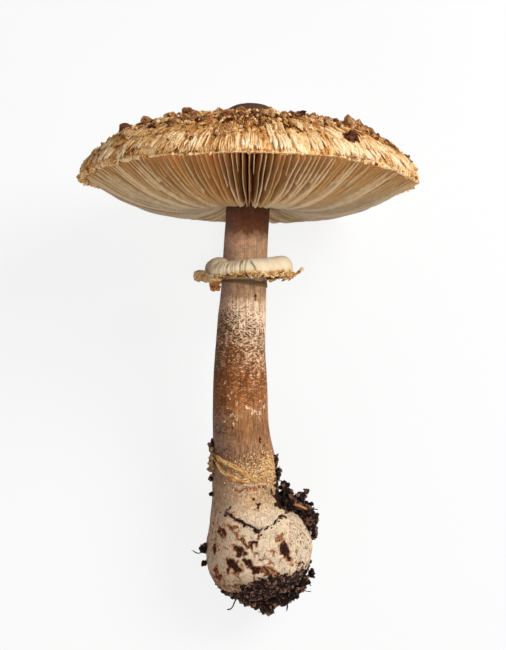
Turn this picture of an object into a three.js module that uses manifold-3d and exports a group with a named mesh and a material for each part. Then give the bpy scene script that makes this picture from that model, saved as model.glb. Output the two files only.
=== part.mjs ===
// A parasol mushroom, picked whole with soil on its bulb and laid on its back.
//
// Units are millimetres and +Z is up. Every piece is shaped in the frame in which the mushroom grew:
// +Z runs from the bulb to the cap, and -Y is the side that faces up once the mushroom lies down.
// The outermost groups turn the whole of it down onto the surface that it rests on.

import * as THREE from "three";
import { mergeVertices } from "three/addons/utils/BufferGeometryUtils.js";
import Module from "manifold-3d";

const wasm = await Module();
wasm.setup();

// ---------------------------------------------------------------- driving dimensions

const CAP_RADIUS = 75; // half of the cap's width across its rim
const RIM_HEIGHT = 189; // the plane of the rim, above the underside of the bulb
const CAP_OFFSET = -0.1; // the cap's axis, sideways from the frame's
const CAP_TILT = 1.0; // degrees: the right side of the rim hangs a little lower
const CAP_SIDES = 48; // facets round the cap
const GILL_PLEATS = 48; // pleats in the gill layer, two facets each
const GILL_CREST_RADIUS = 32; // where the gills hang deepest
const GILL_DEPTH = 16; // how far they hang below the rim there
const GILL_INNER_RADIUS = 11.8; // the free inner ends stop short of the stem
const GILL_INNER_DEPTH = 10.5;
const PLEAT_DEPTH = 7; // how far a groove between two gills cuts in
const REST_DENT = 5.6; // the rim is pressed flat by this much where the cap lies on it
const REST_DENT_WIDTH = 22;

const STEM_TOP = RIM_HEIGHT + 2.9; // the stem ends in a socket in the cap's flesh
const STEM_SIDES = 28;
const STEM_ROWS = 15; // rows of facets between its foot and its top
const FOOT_REACH = 6.5; // the stem's foot bulges forwards over the bulb by this much
const BULB_RADIUS = 22.9;
const BULB_CENTRE = new THREE.Vector3(4.1, 0, 23.8);

const RING_CENTRE = new THREE.Vector3(-0.7, 0, 150);
const RING_SIDES = 32;
const SLEEVE_LEAN = 1.9; // the sleeve under the ring follows the stem's lean
const STRAND_RADIUS = 0.95; // the torn skin strands round the lower stem

const CLEARANCE = 0.3; // the gap between pieces that touch
const LEAN_BACK = 15.7; // degrees: how far the cap's end is raised when it lies on rim and bulb

// The dome of the cap: a rounded disc with a bell on its middle, and the radii where it has rows.
const DOME_HEIGHT = 24.6;
const UMBO_HEIGHT = 10;
const UMBO_RADIUS = 16;
const DOME_RADII = [75, 73.5, 70, 65, 58, 50, 40, 32, 21, 17, 14, 10, 5, 0];
// The underside of the flesh, which carries the gills, from the margin inwards.
const FLESH = [
  [73.4, 1.3],
  [66, 5],
  [50, 7.9],
  [30, 9.6],
  [GILL_INNER_RADIUS, 6],
];
// The stem's height, sideways lean and radius, from its foot up.
const STEM = [
  [38, -0.9, 15.9],
  [46, -1.7, 14.9],
  [58.5, -2.3, 14.4],
  [66, -2.8, 13.6],
  [74, -3.6, 12.6],
  [95, -4.3, 11.9],
  [117, -4.0, 10.8],
  [136, -2.9, 10.1],
  [155, -2.0, 9.7],
  [177, -0.8, 9.4],
  [STEM_TOP, -0.4, 9.3],
];

// ---------------------------------------------------------------- finishes

const finish = (color, roughness) => new THREE.MeshStandardMaterial({ color, roughness, metalness: 0 });
const SKIN = finish(0xb98f5c, 0.85);
const GILL = finish(0xd9c3a0, 0.8);
const STALK = finish(0xc09a78, 0.75);
const VEIL = finish(0xe0cfae, 0.8);
const STRAND = finish(0xc79a55, 0.8);
const SOIL = finish(0x2e211b, 0.95);
const STRAW = finish(0xb5763f, 0.7);

// ---------------------------------------------------------------- helpers

const TURN = 2 * Math.PI;
const radians = THREE.MathUtils.degToRad;
const smoothstep = THREE.MathUtils.smoothstep;

// A closed geometry as a solid, with the vertices that its faces share merged.
function solidOf(geometry) {
  const bare = geometry.clone();
  bare.deleteAttribute("normal");
  bare.deleteAttribute("uv");
  const merged = mergeVertices(bare, 1e-3);
  const vertProperties = merged.getAttribute("position").array;
  const triVerts = new Uint32Array(merged.index.array);
  return new wasm.Manifold(new wasm.Mesh({ numProp: 3, vertProperties, triVerts }));
}

const joined = (solids) => solids.reduce((whole, solid) => whole.add(solid));

// One solid less another, keeping the largest body that is left.
function fitted(solid, neighbour) {
  const bodies = solid.subtract(neighbour).decompose();
  return bodies.reduce((best, body) => (body.volume() > best.volume() ? body : best));
}

function meshOf(name, solid, material) {
  const { vertProperties, triVerts } = solid.getMesh();
  const geometry = new THREE.BufferGeometry()
    .setAttribute("position", new THREE.BufferAttribute(vertProperties, 3))
    .setIndex(new THREE.BufferAttribute(triVerts, 1));
  geometry.computeVertexNormals();
  const mesh = new THREE.Mesh(geometry, material);
  mesh.name = name;
  return mesh;
}

// Moves every vertex of a geometry with a function that changes the point it is given.
function warped(geometry, move) {
  const position = geometry.getAttribute("position");
  const point = new THREE.Vector3();
  for (let i = 0; i < position.count; i++) {
    move(point.fromBufferAttribute(position, i));
    position.setXYZ(i, point.x, point.y, point.z);
  }
  return geometry;
}

// A profile of [radius, height] points turned about the Z axis.
function turned(profile, sides) {
  const points = profile.map(([radius, height]) => new THREE.Vector2(radius, height));
  return new THREE.LatheGeometry(points, sides).rotateX(Math.PI / 2);
}

// Closed loops of points, each joined to the next and the last one to the first.
function ringOfLoops(loops) {
  const across = loops[0].length;
  const index = [];
  loops.forEach((loop, i) => {
    const here = i * across;
    const next = ((i + 1) % loops.length) * across;
    for (let j = 0; j < across; j++) {
      const k = (j + 1) % across;
      index.push(here + j, next + j, next + k, here + j, next + k, here + k);
    }
  });
  return new THREE.BufferGeometry().setFromPoints(loops.flat()).setIndex(index);
}

// The value that [place, value] rows, from the lowest place up, give in straight stretches.
function lookUp(rows, place) {
  const after = rows.findIndex(([at]) => at >= place);
  if (after < 1) return after < 0 ? rows.at(-1)[1] : rows[0][1];
  const [a, b] = [rows[after - 1], rows[after]];
  return a[1] + ((b[1] - a[1]) * (place - a[0])) / (b[0] - a[0]);
}

// A smooth unevenness between about -1 and 1, the same for the same point and seed.
function unevenness({ x, y, z }, seed) {
  const wave = (a, b, c, shift) => Math.sin(a * x + b * y + c * z + shift * seed);
  return (wave(2.1, 1.3, -1.7, 1.9) + wave(-1.2, 2.4, 1.5, 3.1) + wave(3.3, -2.2, 2.6, 0.7)) / 2.2;
}

// An irregular crumb: a faceted ball stretched to three radii and roughened.
function crumb([x, y, z], [across, deep, tall], seed, rough = 0.22, detail = 1) {
  const ball = warped(new THREE.IcosahedronGeometry(1, detail), (point) => {
    point.multiplyScalar(1 + rough * unevenness(point, seed));
  });
  return solidOf(ball.scale(across, deep, tall).translate(x, y, z));
}

// A thread or twig of constant radius along a smooth curve through the given points.
function thread(points, radius, steps, sides = 5) {
  const section = new THREE.Shape();
  for (let i = 0; i < sides; i++) {
    const angle = (TURN * i) / sides;
    const [x, y] = [radius * Math.cos(angle), radius * Math.sin(angle)];
    i ? section.lineTo(x, y) : section.moveTo(x, y);
  }
  const extrudePath = new THREE.CatmullRomCurve3(points);
  return solidOf(new THREE.ExtrudeGeometry(section, { steps, extrudePath, bevelEnabled: false }));
}

// ---------------------------------------------------------------- cap and gills

// The dome's height above the rim plane: 24.6 (1 - (r/75)^3)^0.634 + 10 exp(-(r/16)^3).
function domeHeight(radius) {
  const disc = DOME_HEIGHT * (1 - (radius / CAP_RADIUS) ** 3) ** 0.634;
  return disc + UMBO_HEIGHT * Math.exp(-((radius / UMBO_RADIUS) ** 3));
}

// How the whole cap departs from a true round: a margin that waves gently, and is pressed flat
// at the back, where the cap lies on it.
function capForm(point) {
  const reach = Math.hypot(point.x, point.y) / CAP_RADIUS;
  const angle = Math.atan2(point.y, point.x);
  point.z += 0.5 * reach ** 4 * (Math.sin(5 * angle + 0.6) + 0.6 * Math.sin(8 * angle + 2));
  const behind = smoothstep(point.y / CAP_RADIUS, 0.3, 0.9);
  point.y -= REST_DENT * behind * Math.exp(-((point.x / REST_DENT_WIDTH) ** 2));
}

// The depth of the gill edges below the rim plane: a parabola from the rim down to the crest, and
// another back up to the inner ends.
function gillDepth(radius) {
  if (radius > GILL_CREST_RADIUS) {
    const out = (radius - GILL_CREST_RADIUS) / (CAP_RADIUS - GILL_CREST_RADIUS);
    return GILL_DEPTH * (1 - out ** 2);
  }
  const inwards = (GILL_CREST_RADIUS - radius) / (GILL_CREST_RADIUS - GILL_INNER_RADIUS);
  return GILL_DEPTH - (GILL_DEPTH - GILL_INNER_DEPTH) * inwards ** 2;
}

function gills() {
  const inner = GILL_INNER_RADIUS + 2 * CLEARANCE; // the upper ends of the inner and outer walls
  const outer = FLESH[0][0] - 2 * CLEARANCE;
  const stations = [GILL_INNER_RADIUS, 17, 24, 32, 42, 54, 64, 69.5, outer - 0.2];
  const loops = [];
  for (let i = 0; i < 2 * GILL_PLEATS; i++) {
    const angle = (TURN * i) / (2 * GILL_PLEATS);
    const groove = i % 2;
    const at = (radius, height) =>
      new THREE.Vector3(radius * Math.cos(angle), radius * Math.sin(angle), height);
    const edge = stations.map((radius) => {
      const shallow = Math.min(1, (CAP_RADIUS - radius) / 12) * Math.min(1, radius / 30);
      return at(radius, -gillDepth(radius) + groove * PLEAT_DEPTH * shallow);
    });
    const top = FLESH.map(([radius, height]) =>
      at(THREE.MathUtils.clamp(radius, inner, outer), height - CLEARANCE),
    );
    const loop = [...edge, ...top];
    loop.forEach(capForm);
    loops.push(loop);
  }
  return solidOf(ringOfLoops(loops));
}

// The scales: the skin tore into crumbs in broken rings round the bare top, with fewer towards the
// margin, and a few large ones. Rows give the ring's radius, its number of crumbs and their size.
const SCALE_RINGS = [
  [21, 11, 3.2],
  [31, 9, 2.9],
  [43, 8, 2.8],
  [56, 6, 2.6],
];
// Angle from +X in degrees, radius and size of the largest ones.
const LARGE_SCALES = [
  [-20, 51, 4.2],
  [-36, 60, 3.4],
  [-173, 56, 3.4],
  [-168, 46, 3.8],
  [-150, 40, 3.2],
];

function scales() {
  const lumps = [];
  const add = (degrees, radius, size) => {
    const seed = lumps.length + 1;
    const place = new THREE.Vector3().setFromCylindricalCoords(radius, radians(degrees + 90), 0);
    place.set(place.x, -place.z, domeHeight(radius) + 0.25 * size);
    capForm(place);
    lumps.push(crumb(place.toArray(), [size, size * 0.8, size * 0.7], seed, 0.25, 0));
  };
  for (const [radius, count, size] of SCALE_RINGS) {
    for (let i = 0; i < count; i++) {
      const drift = unevenness({ x: radius, y: i, z: 0 }, 3);
      add((360 * i) / count + 9 * drift, radius + 3 * drift, size * (1 + 0.3 * drift));
    }
  }
  LARGE_SCALES.forEach(([degrees, radius, size]) => add(degrees, radius, size));
  return lumps;
}

function cap() {
  const top = DOME_RADII.map((radius) => [radius, domeHeight(radius)]);
  const margin = [
    [CAP_RADIUS - 1.2, -1.2],
    [CAP_RADIUS - 0.2, -1.3],
  ];
  const socket = [
    [0, STEM_TOP - RIM_HEIGHT + CLEARANCE],
    [GILL_INNER_RADIUS - 0.8, STEM_TOP - RIM_HEIGHT + CLEARANCE],
  ];
  const profile = [...socket, ...[...FLESH].reverse(), ...margin, ...top];
  const body = solidOf(warped(turned(profile, CAP_SIDES), capForm));
  return joined([body, ...scales()]);
}

// ---------------------------------------------------------------- stem and bulb

const stemCurve = new THREE.CatmullRomCurve3(
  STEM.map(([height, lean, radius]) => new THREE.Vector3(lean, radius, height)),
);
const stemRows = stemCurve.getPoints(STEM_ROWS).map(({ x, y, z }) => ({ lean: x, radius: y, height: z }));
const stemRadius = (height) => lookUp(stemRows.map((row) => [row.height, row.radius]), height);
const stemLean = (height) => lookUp(stemRows.map((row) => [row.height, row.lean]), height);
const footReach = (height) => -FOOT_REACH * smoothstep(60 - height, 0, 28);

// A point at an angle round the stem, in degrees from the front towards the right.
function onStem(degrees, height, out) {
  const radius = stemRadius(height) + out;
  const [x, y] = [Math.sin(radians(degrees)), -Math.cos(radians(degrees))];
  return new THREE.Vector3(stemLean(height) + radius * x, footReach(height) + radius * y, height);
}

// The bulb departs from a ball in a few broad swellings: direction, height and sharpness.
const BULB_SWELLINGS = [
  [new THREE.Vector3(-0.72, -0.2, -0.67).normalize(), 2.6, 5],
  [new THREE.Vector3(0.9, -0.3, 0.3).normalize(), 1.2, 4],
  [new THREE.Vector3(0, 0, -1), -0.9, 3],
];

// The stem and its bulb in one, grown outwards by a margin where a neighbour is cut to fit it.
function stem(grow = 0) {
  const [{ height: base, radius: baseRadius }] = stemRows;
  const round = [0, 1, 2, 3].map((i) => {
    const angle = (i / 4) * (Math.PI / 2);
    return [(baseRadius + grow) * Math.sin(angle), base - (12 + grow) * Math.cos(angle)];
  });
  const side = stemRows.map(({ radius, height }) => [radius + grow, height]);
  const shaft = turned([...round, ...side, [0, STEM_TOP]], STEM_SIDES);
  warped(shaft, (point) => {
    const height = Math.max(point.z, base);
    point.x += stemLean(height);
    point.y += footReach(point.z);
  });
  const bulb = warped(new THREE.SphereGeometry(1, 26, 15).rotateX(Math.PI / 2), (point) => {
    const swell = BULB_SWELLINGS.reduce(
      (sum, [way, high, sharp]) => sum + high * Math.exp(sharp * (point.dot(way) - 1)),
      BULB_RADIUS + grow,
    );
    point.multiplyScalar(swell).add(BULB_CENTRE);
  });
  return solidOf(shaft).add(solidOf(bulb));
}

const stemSolid = stem();
const stemRoom = stem(CLEARANCE);

// ---------------------------------------------------------------- ring

// The ring's section, as distance from the stem's axis and height: a thin sleeve on the stem
// that flares into a cuff, rolled over to a torn lower edge.
const RING_SECTION = [
  [8, -9],
  [10.8, -9],
  [11.2, -5.6],
  [15.5, -2.6],
  [18.2, -4.4],
  [19.6, -4.2],
  [20.1, -1],
  [19.4, 2],
  [17, 3.7],
  [12.5, 3.2],
  [8, 2.4],
];

function ring() {
  const loops = [];
  for (let i = 0; i < RING_SIDES; i++) {
    const angle = (TURN * i) / RING_SIDES;
    const way = new THREE.Vector3(Math.cos(angle), Math.sin(angle), 0);
    const ragged = unevenness(way.clone().multiplyScalar(4), 2);
    loops.push(
      RING_SECTION.map(([out, up]) => {
        const outer = smoothstep(out, 12, 19);
        const radius = out + 0.5 * outer * ragged;
        const droop = outer * (0.9 * way.x + 0.5 * ragged) - 1.2 * way.x * smoothstep(-up, 5, 9);
        const point = way.clone().multiplyScalar(radius).setZ(up + droop).add(RING_CENTRE);
        point.x -= SLEEVE_LEAN * smoothstep(-up, 3, 8);
        return point;
      }),
    );
  }
  const cuff = solidOf(ringOfLoops(loops));
  const tornRoll = crumb([-20.5, -4, 146], [4.6, 4, 2.6], 5, 0.15);
  const flap = crumb([-16.4, -5.5, 142.6], [3.4, 3, 4.4], 8, 0.2);
  const spurPoints = [
    [18, -4, 146.6],
    [20.6, -4.4, 146.7],
    [23.4, -4.6, 148],
  ].map((place) => new THREE.Vector3(...place));
  const knob = crumb([23.4, -4.6, 148.1], [1, 1, 1.1], 3, 0.1, 0);
  const whole = joined([cuff, tornRoll, flap, thread(spurPoints, 0.6, 4), knob]);
  return fitted(whole, stemRoom);
}

// ---------------------------------------------------------------- torn skin round the lower stem

// Each strand as angle round the stem and height, in degrees and millimetres.
const UPPER_STRAND = [
  [-236, 57],
  [-205, 60.5],
  [-170, 62],
  [-130, 64.5],
  [-92, 66],
  [-60, 65.6],
  [-36, 63.7],
  [-13, 61.6],
  [4, 58.4],
  [16, 55.6],
  [30, 54.8],
];
const LOWER_STRAND = [
  [-84, 65.8],
  [-62, 64.4],
  [-47, 62.4],
  [-33, 58.4],
  [-15, 56.2],
  [2, 55.4],
  [16, 55.6],
];

function skinBand() {
  const strand = (rows, steps) =>
    thread(rows.map(([degrees, height]) => onStem(degrees, height, 0.9)), STRAND_RADIUS, steps);
  const flap = crumb([-16.9, -3.5, 61.8], [1.9, 3.6, 4.6], 4, 0.15);
  return fitted(joined([strand(UPPER_STRAND, 26), strand(LOWER_STRAND, 11), flap]), stemRoom);
}

// ---------------------------------------------------------------- soil

// Each clod as its lumps: centre, the three radii.
const SOIL_PIECES = {
  soil_clod_side: [
    [[11.6, -3, 62], [1.8, 2.8, 4.6]],
    [[13.6, -4, 55], [2.2, 3.4, 5.6]],
    [[17.5, -5, 48.4], [5, 6, 5.4]],
    [[22.6, -4, 43.4], [6.6, 7.6, 7.2]],
    [[26.2, -2, 36], [4.6, 7, 8]],
    [[27.6, -2, 29.6], [2.8, 4.4, 4.4]],
    [[18, 5.4, 43.6], [7, 7, 6]],
  ],
  soil_clod_base: [
    [[-5.4, -3, 1.6], [4, 5.4, 2.6]],
    [[2, -4, -0.6], [6, 7, 3.2]],
    [[5.6, -5, -2.6], [3.6, 4, 2.7]],
    [[12, -4, 1.6], [7, 8, 4]],
    [[19, -4, 5.8], [6, 7, 4]],
    [[24.6, -5, 10.4], [3.4, 4, 4]],
    [[27.6, -5, 13.4], [2, 2.4, 2.2]],
    [[8, 7, 0.6], [9, 7, 3]],
  ],
  soil_crumb_left: [[[-20.6, -4, 24.2], [2.1, 2.4, 2.4]]],
  soil_crumb_left_small: [[[-20.2, -5, 18.2], [1.2, 1.4, 1.6]]],
  soil_crumb_band: [[[-17, -2, 69.8], [1.7, 2.6, 2.2]]],
  soil_crumb_band_small: [[[-17.4, -4, 55.4], [1.3, 1.6, 1.7]]],
  soil_crumb_corner: [[[-17.2, -7, 48.6], [1.1, 1.2, 1.1]]],
};

function soilPiece(lumps, index) {
  const crumbs = lumps.map(([centre, radii], i) => crumb(centre, radii, 7 * index + i + 1, 0.28));
  return fitted(joined(crumbs), stemRoom);
}

const ROOTLET = [
  [-6.8, -8.4, 1.4],
  [-7.6, -9, -0.4],
  [-8.8, -9.3, -1.5],
  [-10.2, -9.4, -1.6],
];
const STRAW_BLADE = [
  [19.6, -11.6, 46.6],
  [22, -12, 44.8],
  [24.6, -11.4, 42.6],
];

// ---------------------------------------------------------------- the mushroom, laid down

const grown = new THREE.Group(); // upright, as it grew
const capGroup = new THREE.Group();
capGroup.position.set(CAP_OFFSET, 0, RIM_HEIGHT);
capGroup.rotation.y = radians(CAP_TILT);
capGroup.add(meshOf("cap", cap(), SKIN), meshOf("gills", gills(), GILL));
grown.add(
  capGroup,
  meshOf("stem", stemSolid, STALK),
  meshOf("ring", ring(), VEIL),
  meshOf("skin_band", skinBand(), STRAND),
);
const soil = Object.entries(SOIL_PIECES).map(([name, lumps], i) => [name, soilPiece(lumps, i)]);
soil.forEach(([name, solid]) => grown.add(meshOf(name, solid, SOIL)));

const looseThread = (places, radius) =>
  thread(places.map((place) => new THREE.Vector3(...place)), radius, 10);
const soilRoom = joined([stemRoom, ...soil.map(([, solid]) => solid)]);
const rootlet = fitted(looseThread(ROOTLET, 0.35), soilRoom);
const straw = fitted(looseThread(STRAW_BLADE, 0.7), soilRoom);
grown.add(meshOf("rootlet", rootlet, SOIL), meshOf("straw", straw, STRAW));

const laid = new THREE.Group(); // tipped onto its back about X
laid.rotation.set(radians(LEAN_BACK - 90), 0, 0);
laid.add(grown);

// The origin is under the middle of the whole mushroom, on the surface that it rests on.
const mushroom = new THREE.Group();
mushroom.add(laid);
mushroom.updateMatrixWorld(true);
const extent = new THREE.Box3().setFromObject(mushroom, true);
const middle = extent.getCenter(new THREE.Vector3());
laid.position.set(-middle.x, -middle.y, -extent.min.z);

export default mushroom;
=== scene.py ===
# %% [markdown]
# # A parasol mushroom, picked and laid on its back
#
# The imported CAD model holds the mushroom's pieces at their real size: the broad cap, the layer of
# gills under it, the stem with its swollen bulb, the soft ring, a band of torn skin and the soil
# that came up with it. This lesson dresses each of them: the skin that cracked into flakes and
# crumbs, some two hundred gill blades, the snakeskin pattern of the stem, and crumbly soil.

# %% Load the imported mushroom
from functools import partial, reduce

import bmesh
import bpy
import numpy as np
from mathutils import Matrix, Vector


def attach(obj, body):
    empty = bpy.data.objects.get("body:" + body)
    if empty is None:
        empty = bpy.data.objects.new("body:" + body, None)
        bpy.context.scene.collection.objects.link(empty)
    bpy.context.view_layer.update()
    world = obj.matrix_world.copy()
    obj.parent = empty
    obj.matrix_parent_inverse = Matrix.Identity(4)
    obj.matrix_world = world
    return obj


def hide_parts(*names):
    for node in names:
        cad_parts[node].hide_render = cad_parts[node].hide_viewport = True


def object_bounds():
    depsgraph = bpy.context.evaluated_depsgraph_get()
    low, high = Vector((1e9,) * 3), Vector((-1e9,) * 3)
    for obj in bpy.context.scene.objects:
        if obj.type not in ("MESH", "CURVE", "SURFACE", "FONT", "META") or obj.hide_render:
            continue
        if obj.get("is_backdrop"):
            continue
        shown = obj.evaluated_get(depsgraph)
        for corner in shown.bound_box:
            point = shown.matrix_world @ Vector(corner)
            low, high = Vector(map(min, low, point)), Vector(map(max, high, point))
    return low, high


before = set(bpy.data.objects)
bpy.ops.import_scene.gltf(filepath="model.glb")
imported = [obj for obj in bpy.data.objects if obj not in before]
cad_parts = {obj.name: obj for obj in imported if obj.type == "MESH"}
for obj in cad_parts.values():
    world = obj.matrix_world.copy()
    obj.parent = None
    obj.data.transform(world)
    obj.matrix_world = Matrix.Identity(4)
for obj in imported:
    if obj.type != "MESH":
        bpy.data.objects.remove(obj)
cad_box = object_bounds()
print("CAD box, in metres:", [[round(v, 4) for v in corner] for corner in cad_box])

# %% [markdown]
# Shapes are easiest to write as the mushroom grew: Z along the stem, X to the right and -Y towards
# the eye, in millimetres, with zero under the bulb. The frame holds it lying down. Two facts join
# the two: the angle by which the cap's end is raised, and one point that is known in both, the
# middle of the stem's upper end, which is the stem's furthest point along the raised axis.

# %% From the growing frame to the lying one
LEAN_BACK = np.radians(15.7)
RIM_HEIGHT = 189.0
STEM_TOP = np.array([-0.4, 0.0, RIM_HEIGHT + 2.9])
SIN, COS = np.sin(LEAN_BACK), np.cos(LEAN_BACK)
LAID = np.array([[1, 0, 0], [0, SIN, COS], [0, -COS, SIN]])  # lying axes, from growing ones


def vertices_of(name):
    """The points of a CAD node, in millimetres."""
    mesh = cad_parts[name].data
    flat = np.empty(3 * len(mesh.vertices))
    mesh.vertices.foreach_get("co", flat)
    return 1000 * flat.reshape(-1, 3)


stem_points = vertices_of("stem")
along_stem = stem_points @ LAID[:, 2]
tip_face = stem_points[along_stem > along_stem.max() - 0.1]
ORIGIN = (tip_face.min(axis=0) + tip_face.max(axis=0)) / 2 - LAID @ STEM_TOP


def laid_down(points):
    """Growing millimetres to lying metres: turned by LAID, then moved to the growing frame's origin."""
    return (points @ LAID.T + ORIGIN) / 1000


print("The bulb's underside lies at", np.round(ORIGIN, 2), "mm")

# %% [markdown]
# The camera stands half a metre from the stem, level with its upper third, which is where one sees
# the gills from a little below and the flakes of the cap from the side. Laid down, the same
# camera looks steeply down on the mushroom.

# %% Camera
VIEW_FROM = np.array([1.35, -500.0, 117.0])
VIEW_AT = np.array([1.35, 0.0, 123.75])
VIEW_HEIGHT = 292.5  # what the long side of the view takes in at the stem, in millimetres
SENSOR = 36.0


def aimed(name, data, place, target):
    """An object at one point whose -Z looks at another: its axes come from two cross products."""
    back = place - target
    back = back / np.linalg.norm(back)
    right = np.cross(LAID[:, 2], back)
    right = right / np.linalg.norm(right)
    matrix = np.eye(4)
    matrix[:3, :3] = np.column_stack([right, np.cross(back, right), back])
    matrix[:3, 3] = place
    made = bpy.data.objects.new(name, data)
    made.matrix_world = matrix.T.tolist()  # Blender takes the columns one after another
    bpy.context.scene.collection.objects.link(made)
    return made


camera_data = bpy.data.cameras.new("camera")
camera_data.sensor_width = SENSOR
camera_data.lens = SENSOR * abs(VIEW_FROM[1]) / VIEW_HEIGHT
camera = aimed("camera", camera_data, laid_down(VIEW_FROM), laid_down(VIEW_AT))
bpy.context.scene.camera = camera

# %% [markdown]
# Nature's surfaces are built here from value noise: a repeatable random number on every point of a
# lattice, blended in between. Layers of it, each finer and lower than the last, roughen a shape.

# %% Noise
def spot(*coordinates):
    """Arrays of coordinates, stretched to one shape, as an array of points."""
    return np.stack(np.broadcast_arrays(*coordinates), -1)


def unit(vectors):
    """Vectors brought to a length of 1."""
    return vectors / np.linalg.norm(vectors, axis=-1, keepdims=True)


def lattice(corner, seed):
    """A number from 0 to 1 for each whole-number point: what is left of a large sine."""
    large = np.sin(corner @ np.array([127.1, 311.7, 74.7]) + 53.3 * seed) * 43758.5453
    return large - np.floor(large)


def noise(points, seed):
    """-1 to 1: the numbers at the eight lattice corners round a point, weighted by 3t^2 - 2t^3."""
    base = np.floor(points)
    part = points - base
    part = part * part * (3 - 2 * part)
    total = 0
    for corner in np.ndindex(2, 2, 2):
        weight = np.prod(np.where(corner, part, 1 - part), axis=-1)
        total = total + weight * lattice(base + corner, seed)
    return 2 * total - 1


def rough(points, seed, layers=3):
    """Layers of noise, each twice as fine and half as high, brought back to about -1 to 1."""
    return sum(noise(points * 2**k, seed + k) / 2**k for k in range(layers)) / 1.5


def full_turn(count):
    """So many even steps round a circle, as a row."""
    return np.linspace(0, 2 * np.pi, count, endpoint=False)[None, :]


def ramp(value, low, high):
    """0 below low and 1 above high, by 3t^2 - 2t^3 in between. Low may be above high."""
    t = np.clip((value - low) / (high - low), 0, 1)
    return t * t * (3 - 2 * t)


def bell(value, width):
    """1 at 0, and less to both sides: exp(-(value / width)^2)."""
    return np.exp(-((value / width) ** 2))


def listed(place, rows):
    """Straight lines through [place, value] rows."""
    return np.interp(place, *np.transpose(rows))


def travelled(*steps):
    """How far each point lies along a curve, from the curve's steps along its axes."""
    return np.concatenate([[0], np.cumsum(np.hypot(*steps))])


def through(rows, place):
    """A smooth curve through [place, value, ...] rows: cubics that share their slope at each row."""
    rows = np.asarray(rows, float)
    at, values = rows[:, 0], rows[:, 1:]
    slopes = np.gradient(values, at, axis=0)
    i = np.clip(np.searchsorted(at, place) - 1, 0, len(at) - 2)
    gap = (at[i + 1] - at[i])[..., None]
    t = np.clip((np.asarray(place)[..., None] - at[i][..., None]) / gap, 0, 1)
    start, end = values[i], values[i + 1]
    bend = t * (1 - t) * (slopes[i] * gap * (1 - t) - slopes[i + 1] * gap * t)
    curve = start + (end - start) * t * t * (3 - 2 * t) + bend
    return curve[..., 0] if values.shape[1] == 1 else curve


# %% [markdown]
# Each piece is a grid of points, computed as whole arrays and handed to the mesh in one go. Masks
# travel with the points, so that a material knows where a flake, a groove or a spot lies.

# %% From arrays to a piece
def grid_faces(rows, columns, close_rows=False):
    """Four-cornered faces between neighbouring rows and columns of a grid of points. Its columns run
    round and close, and its rows may too."""
    i = np.arange(rows if close_rows else rows - 1)[:, None]
    j = np.arange(columns)[None, :]
    below, above = i * columns, (i + 1) % rows * columns
    right = (j + 1) % columns
    return np.stack([below + j, below + right, above + right, above + j], -1).reshape(-1, 4)


def fan_faces(rim, pole):
    """Triangles from a closed row of points to one point."""
    return np.stack([rim, np.roll(rim, -1), np.full(len(rim), pole)], -1)


def closed_faces(rows, columns):
    """A grid's faces and the fans that close its first and last row, each with a pole: the two
    points that follow the grid's own."""
    first, pole = np.arange(columns), rows * columns
    ends = [fan_faces(first, pole)[:, ::-1], fan_faces(first + pole - columns, pole + 1)]
    return [grid_faces(rows, columns), *ends]


def halved(faces):
    """Four-cornered faces as triangles, two for each."""
    return np.concatenate([faces[:, [0, 1, 2]], faces[:, [0, 2, 3]]])


def copies(faces, count, points):
    """Faces of so many equal pieces: each time, they are counted on by one piece's points."""
    return (faces[None] + points * np.arange(count)[:, None, None]).reshape(-1, faces.shape[1])


def piece(name, points, faces, material, slot, replaced=(), smooth=True, **masks):
    """A mesh object from points in growing millimetres and arrays of triangles or quads, which takes
    the place of the CAD nodes in replaced. Each mask is a value or a place for each point. Only
    broken crumbs aren't smooth: their faces show."""
    mesh = bpy.data.meshes.new(name)
    corners = np.concatenate([part.ravel() for part in faces])
    sizes = np.concatenate([np.full(len(part), part.shape[1]) for part in faces])
    mesh.vertices.add(len(points))
    placed = laid_down(points)
    placed[:, 2] = np.maximum(placed[:, 2], 0)  # what reaches the floor is pressed flat on it
    mesh.vertices.foreach_set("co", placed.ravel())
    mesh.loops.add(len(corners))
    mesh.loops.foreach_set("vertex_index", corners)
    mesh.polygons.add(len(sizes))
    mesh.polygons.foreach_set("loop_start", np.cumsum(sizes) - sizes)
    mesh.polygons.foreach_set("use_smooth", np.full(len(sizes), smooth))
    for mask, values in {"grown": points, **masks}.items():
        kind, key = ("FLOAT_VECTOR", "vector") if np.ndim(values) == 2 else ("FLOAT", "value")
        mesh.attributes.new(mask, kind, "POINT").data.foreach_set(key, np.ravel(values))
    mesh.update(calc_edges=True)
    mesh.validate()
    mesh.materials.append(material)
    made = bpy.data.objects.new(name, mesh)
    bpy.context.scene.collection.objects.link(made)
    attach(made, "root")
    if replaced:
        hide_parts(*replaced)
    print(f"{name}: {int((sizes - 2).sum())} triangles")


# %% [markdown]
# Fungal tissue is matt and a little waxy, with no metal in it. One function adds a shader node with
# its settings and links, and another turns the colours, written as on a paint chart, to linear light.

# %% Material helpers
COLOUR = {"out": 2, "data_type": "RGBA"}  # Mix of colours: share 0, colours 6 and 7
SUM = {"operation": "MULTIPLY_ADD"}  # Math: the first two multiplied, plus the third
PRODUCT = {"operation": "MULTIPLY"}


def linear(code):
    """Linear light from an sRGB hex code: each channel's curve undone, and full opacity."""
    channels = np.array([int(code[i : i + 2], 16) for i in (1, 3, 5)]) / 255
    light = np.where(channels < 0.04045, channels / 12.92, ((channels + 0.055) / 1.055) ** 2.4)
    return (*light.tolist(), 1.0)


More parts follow.
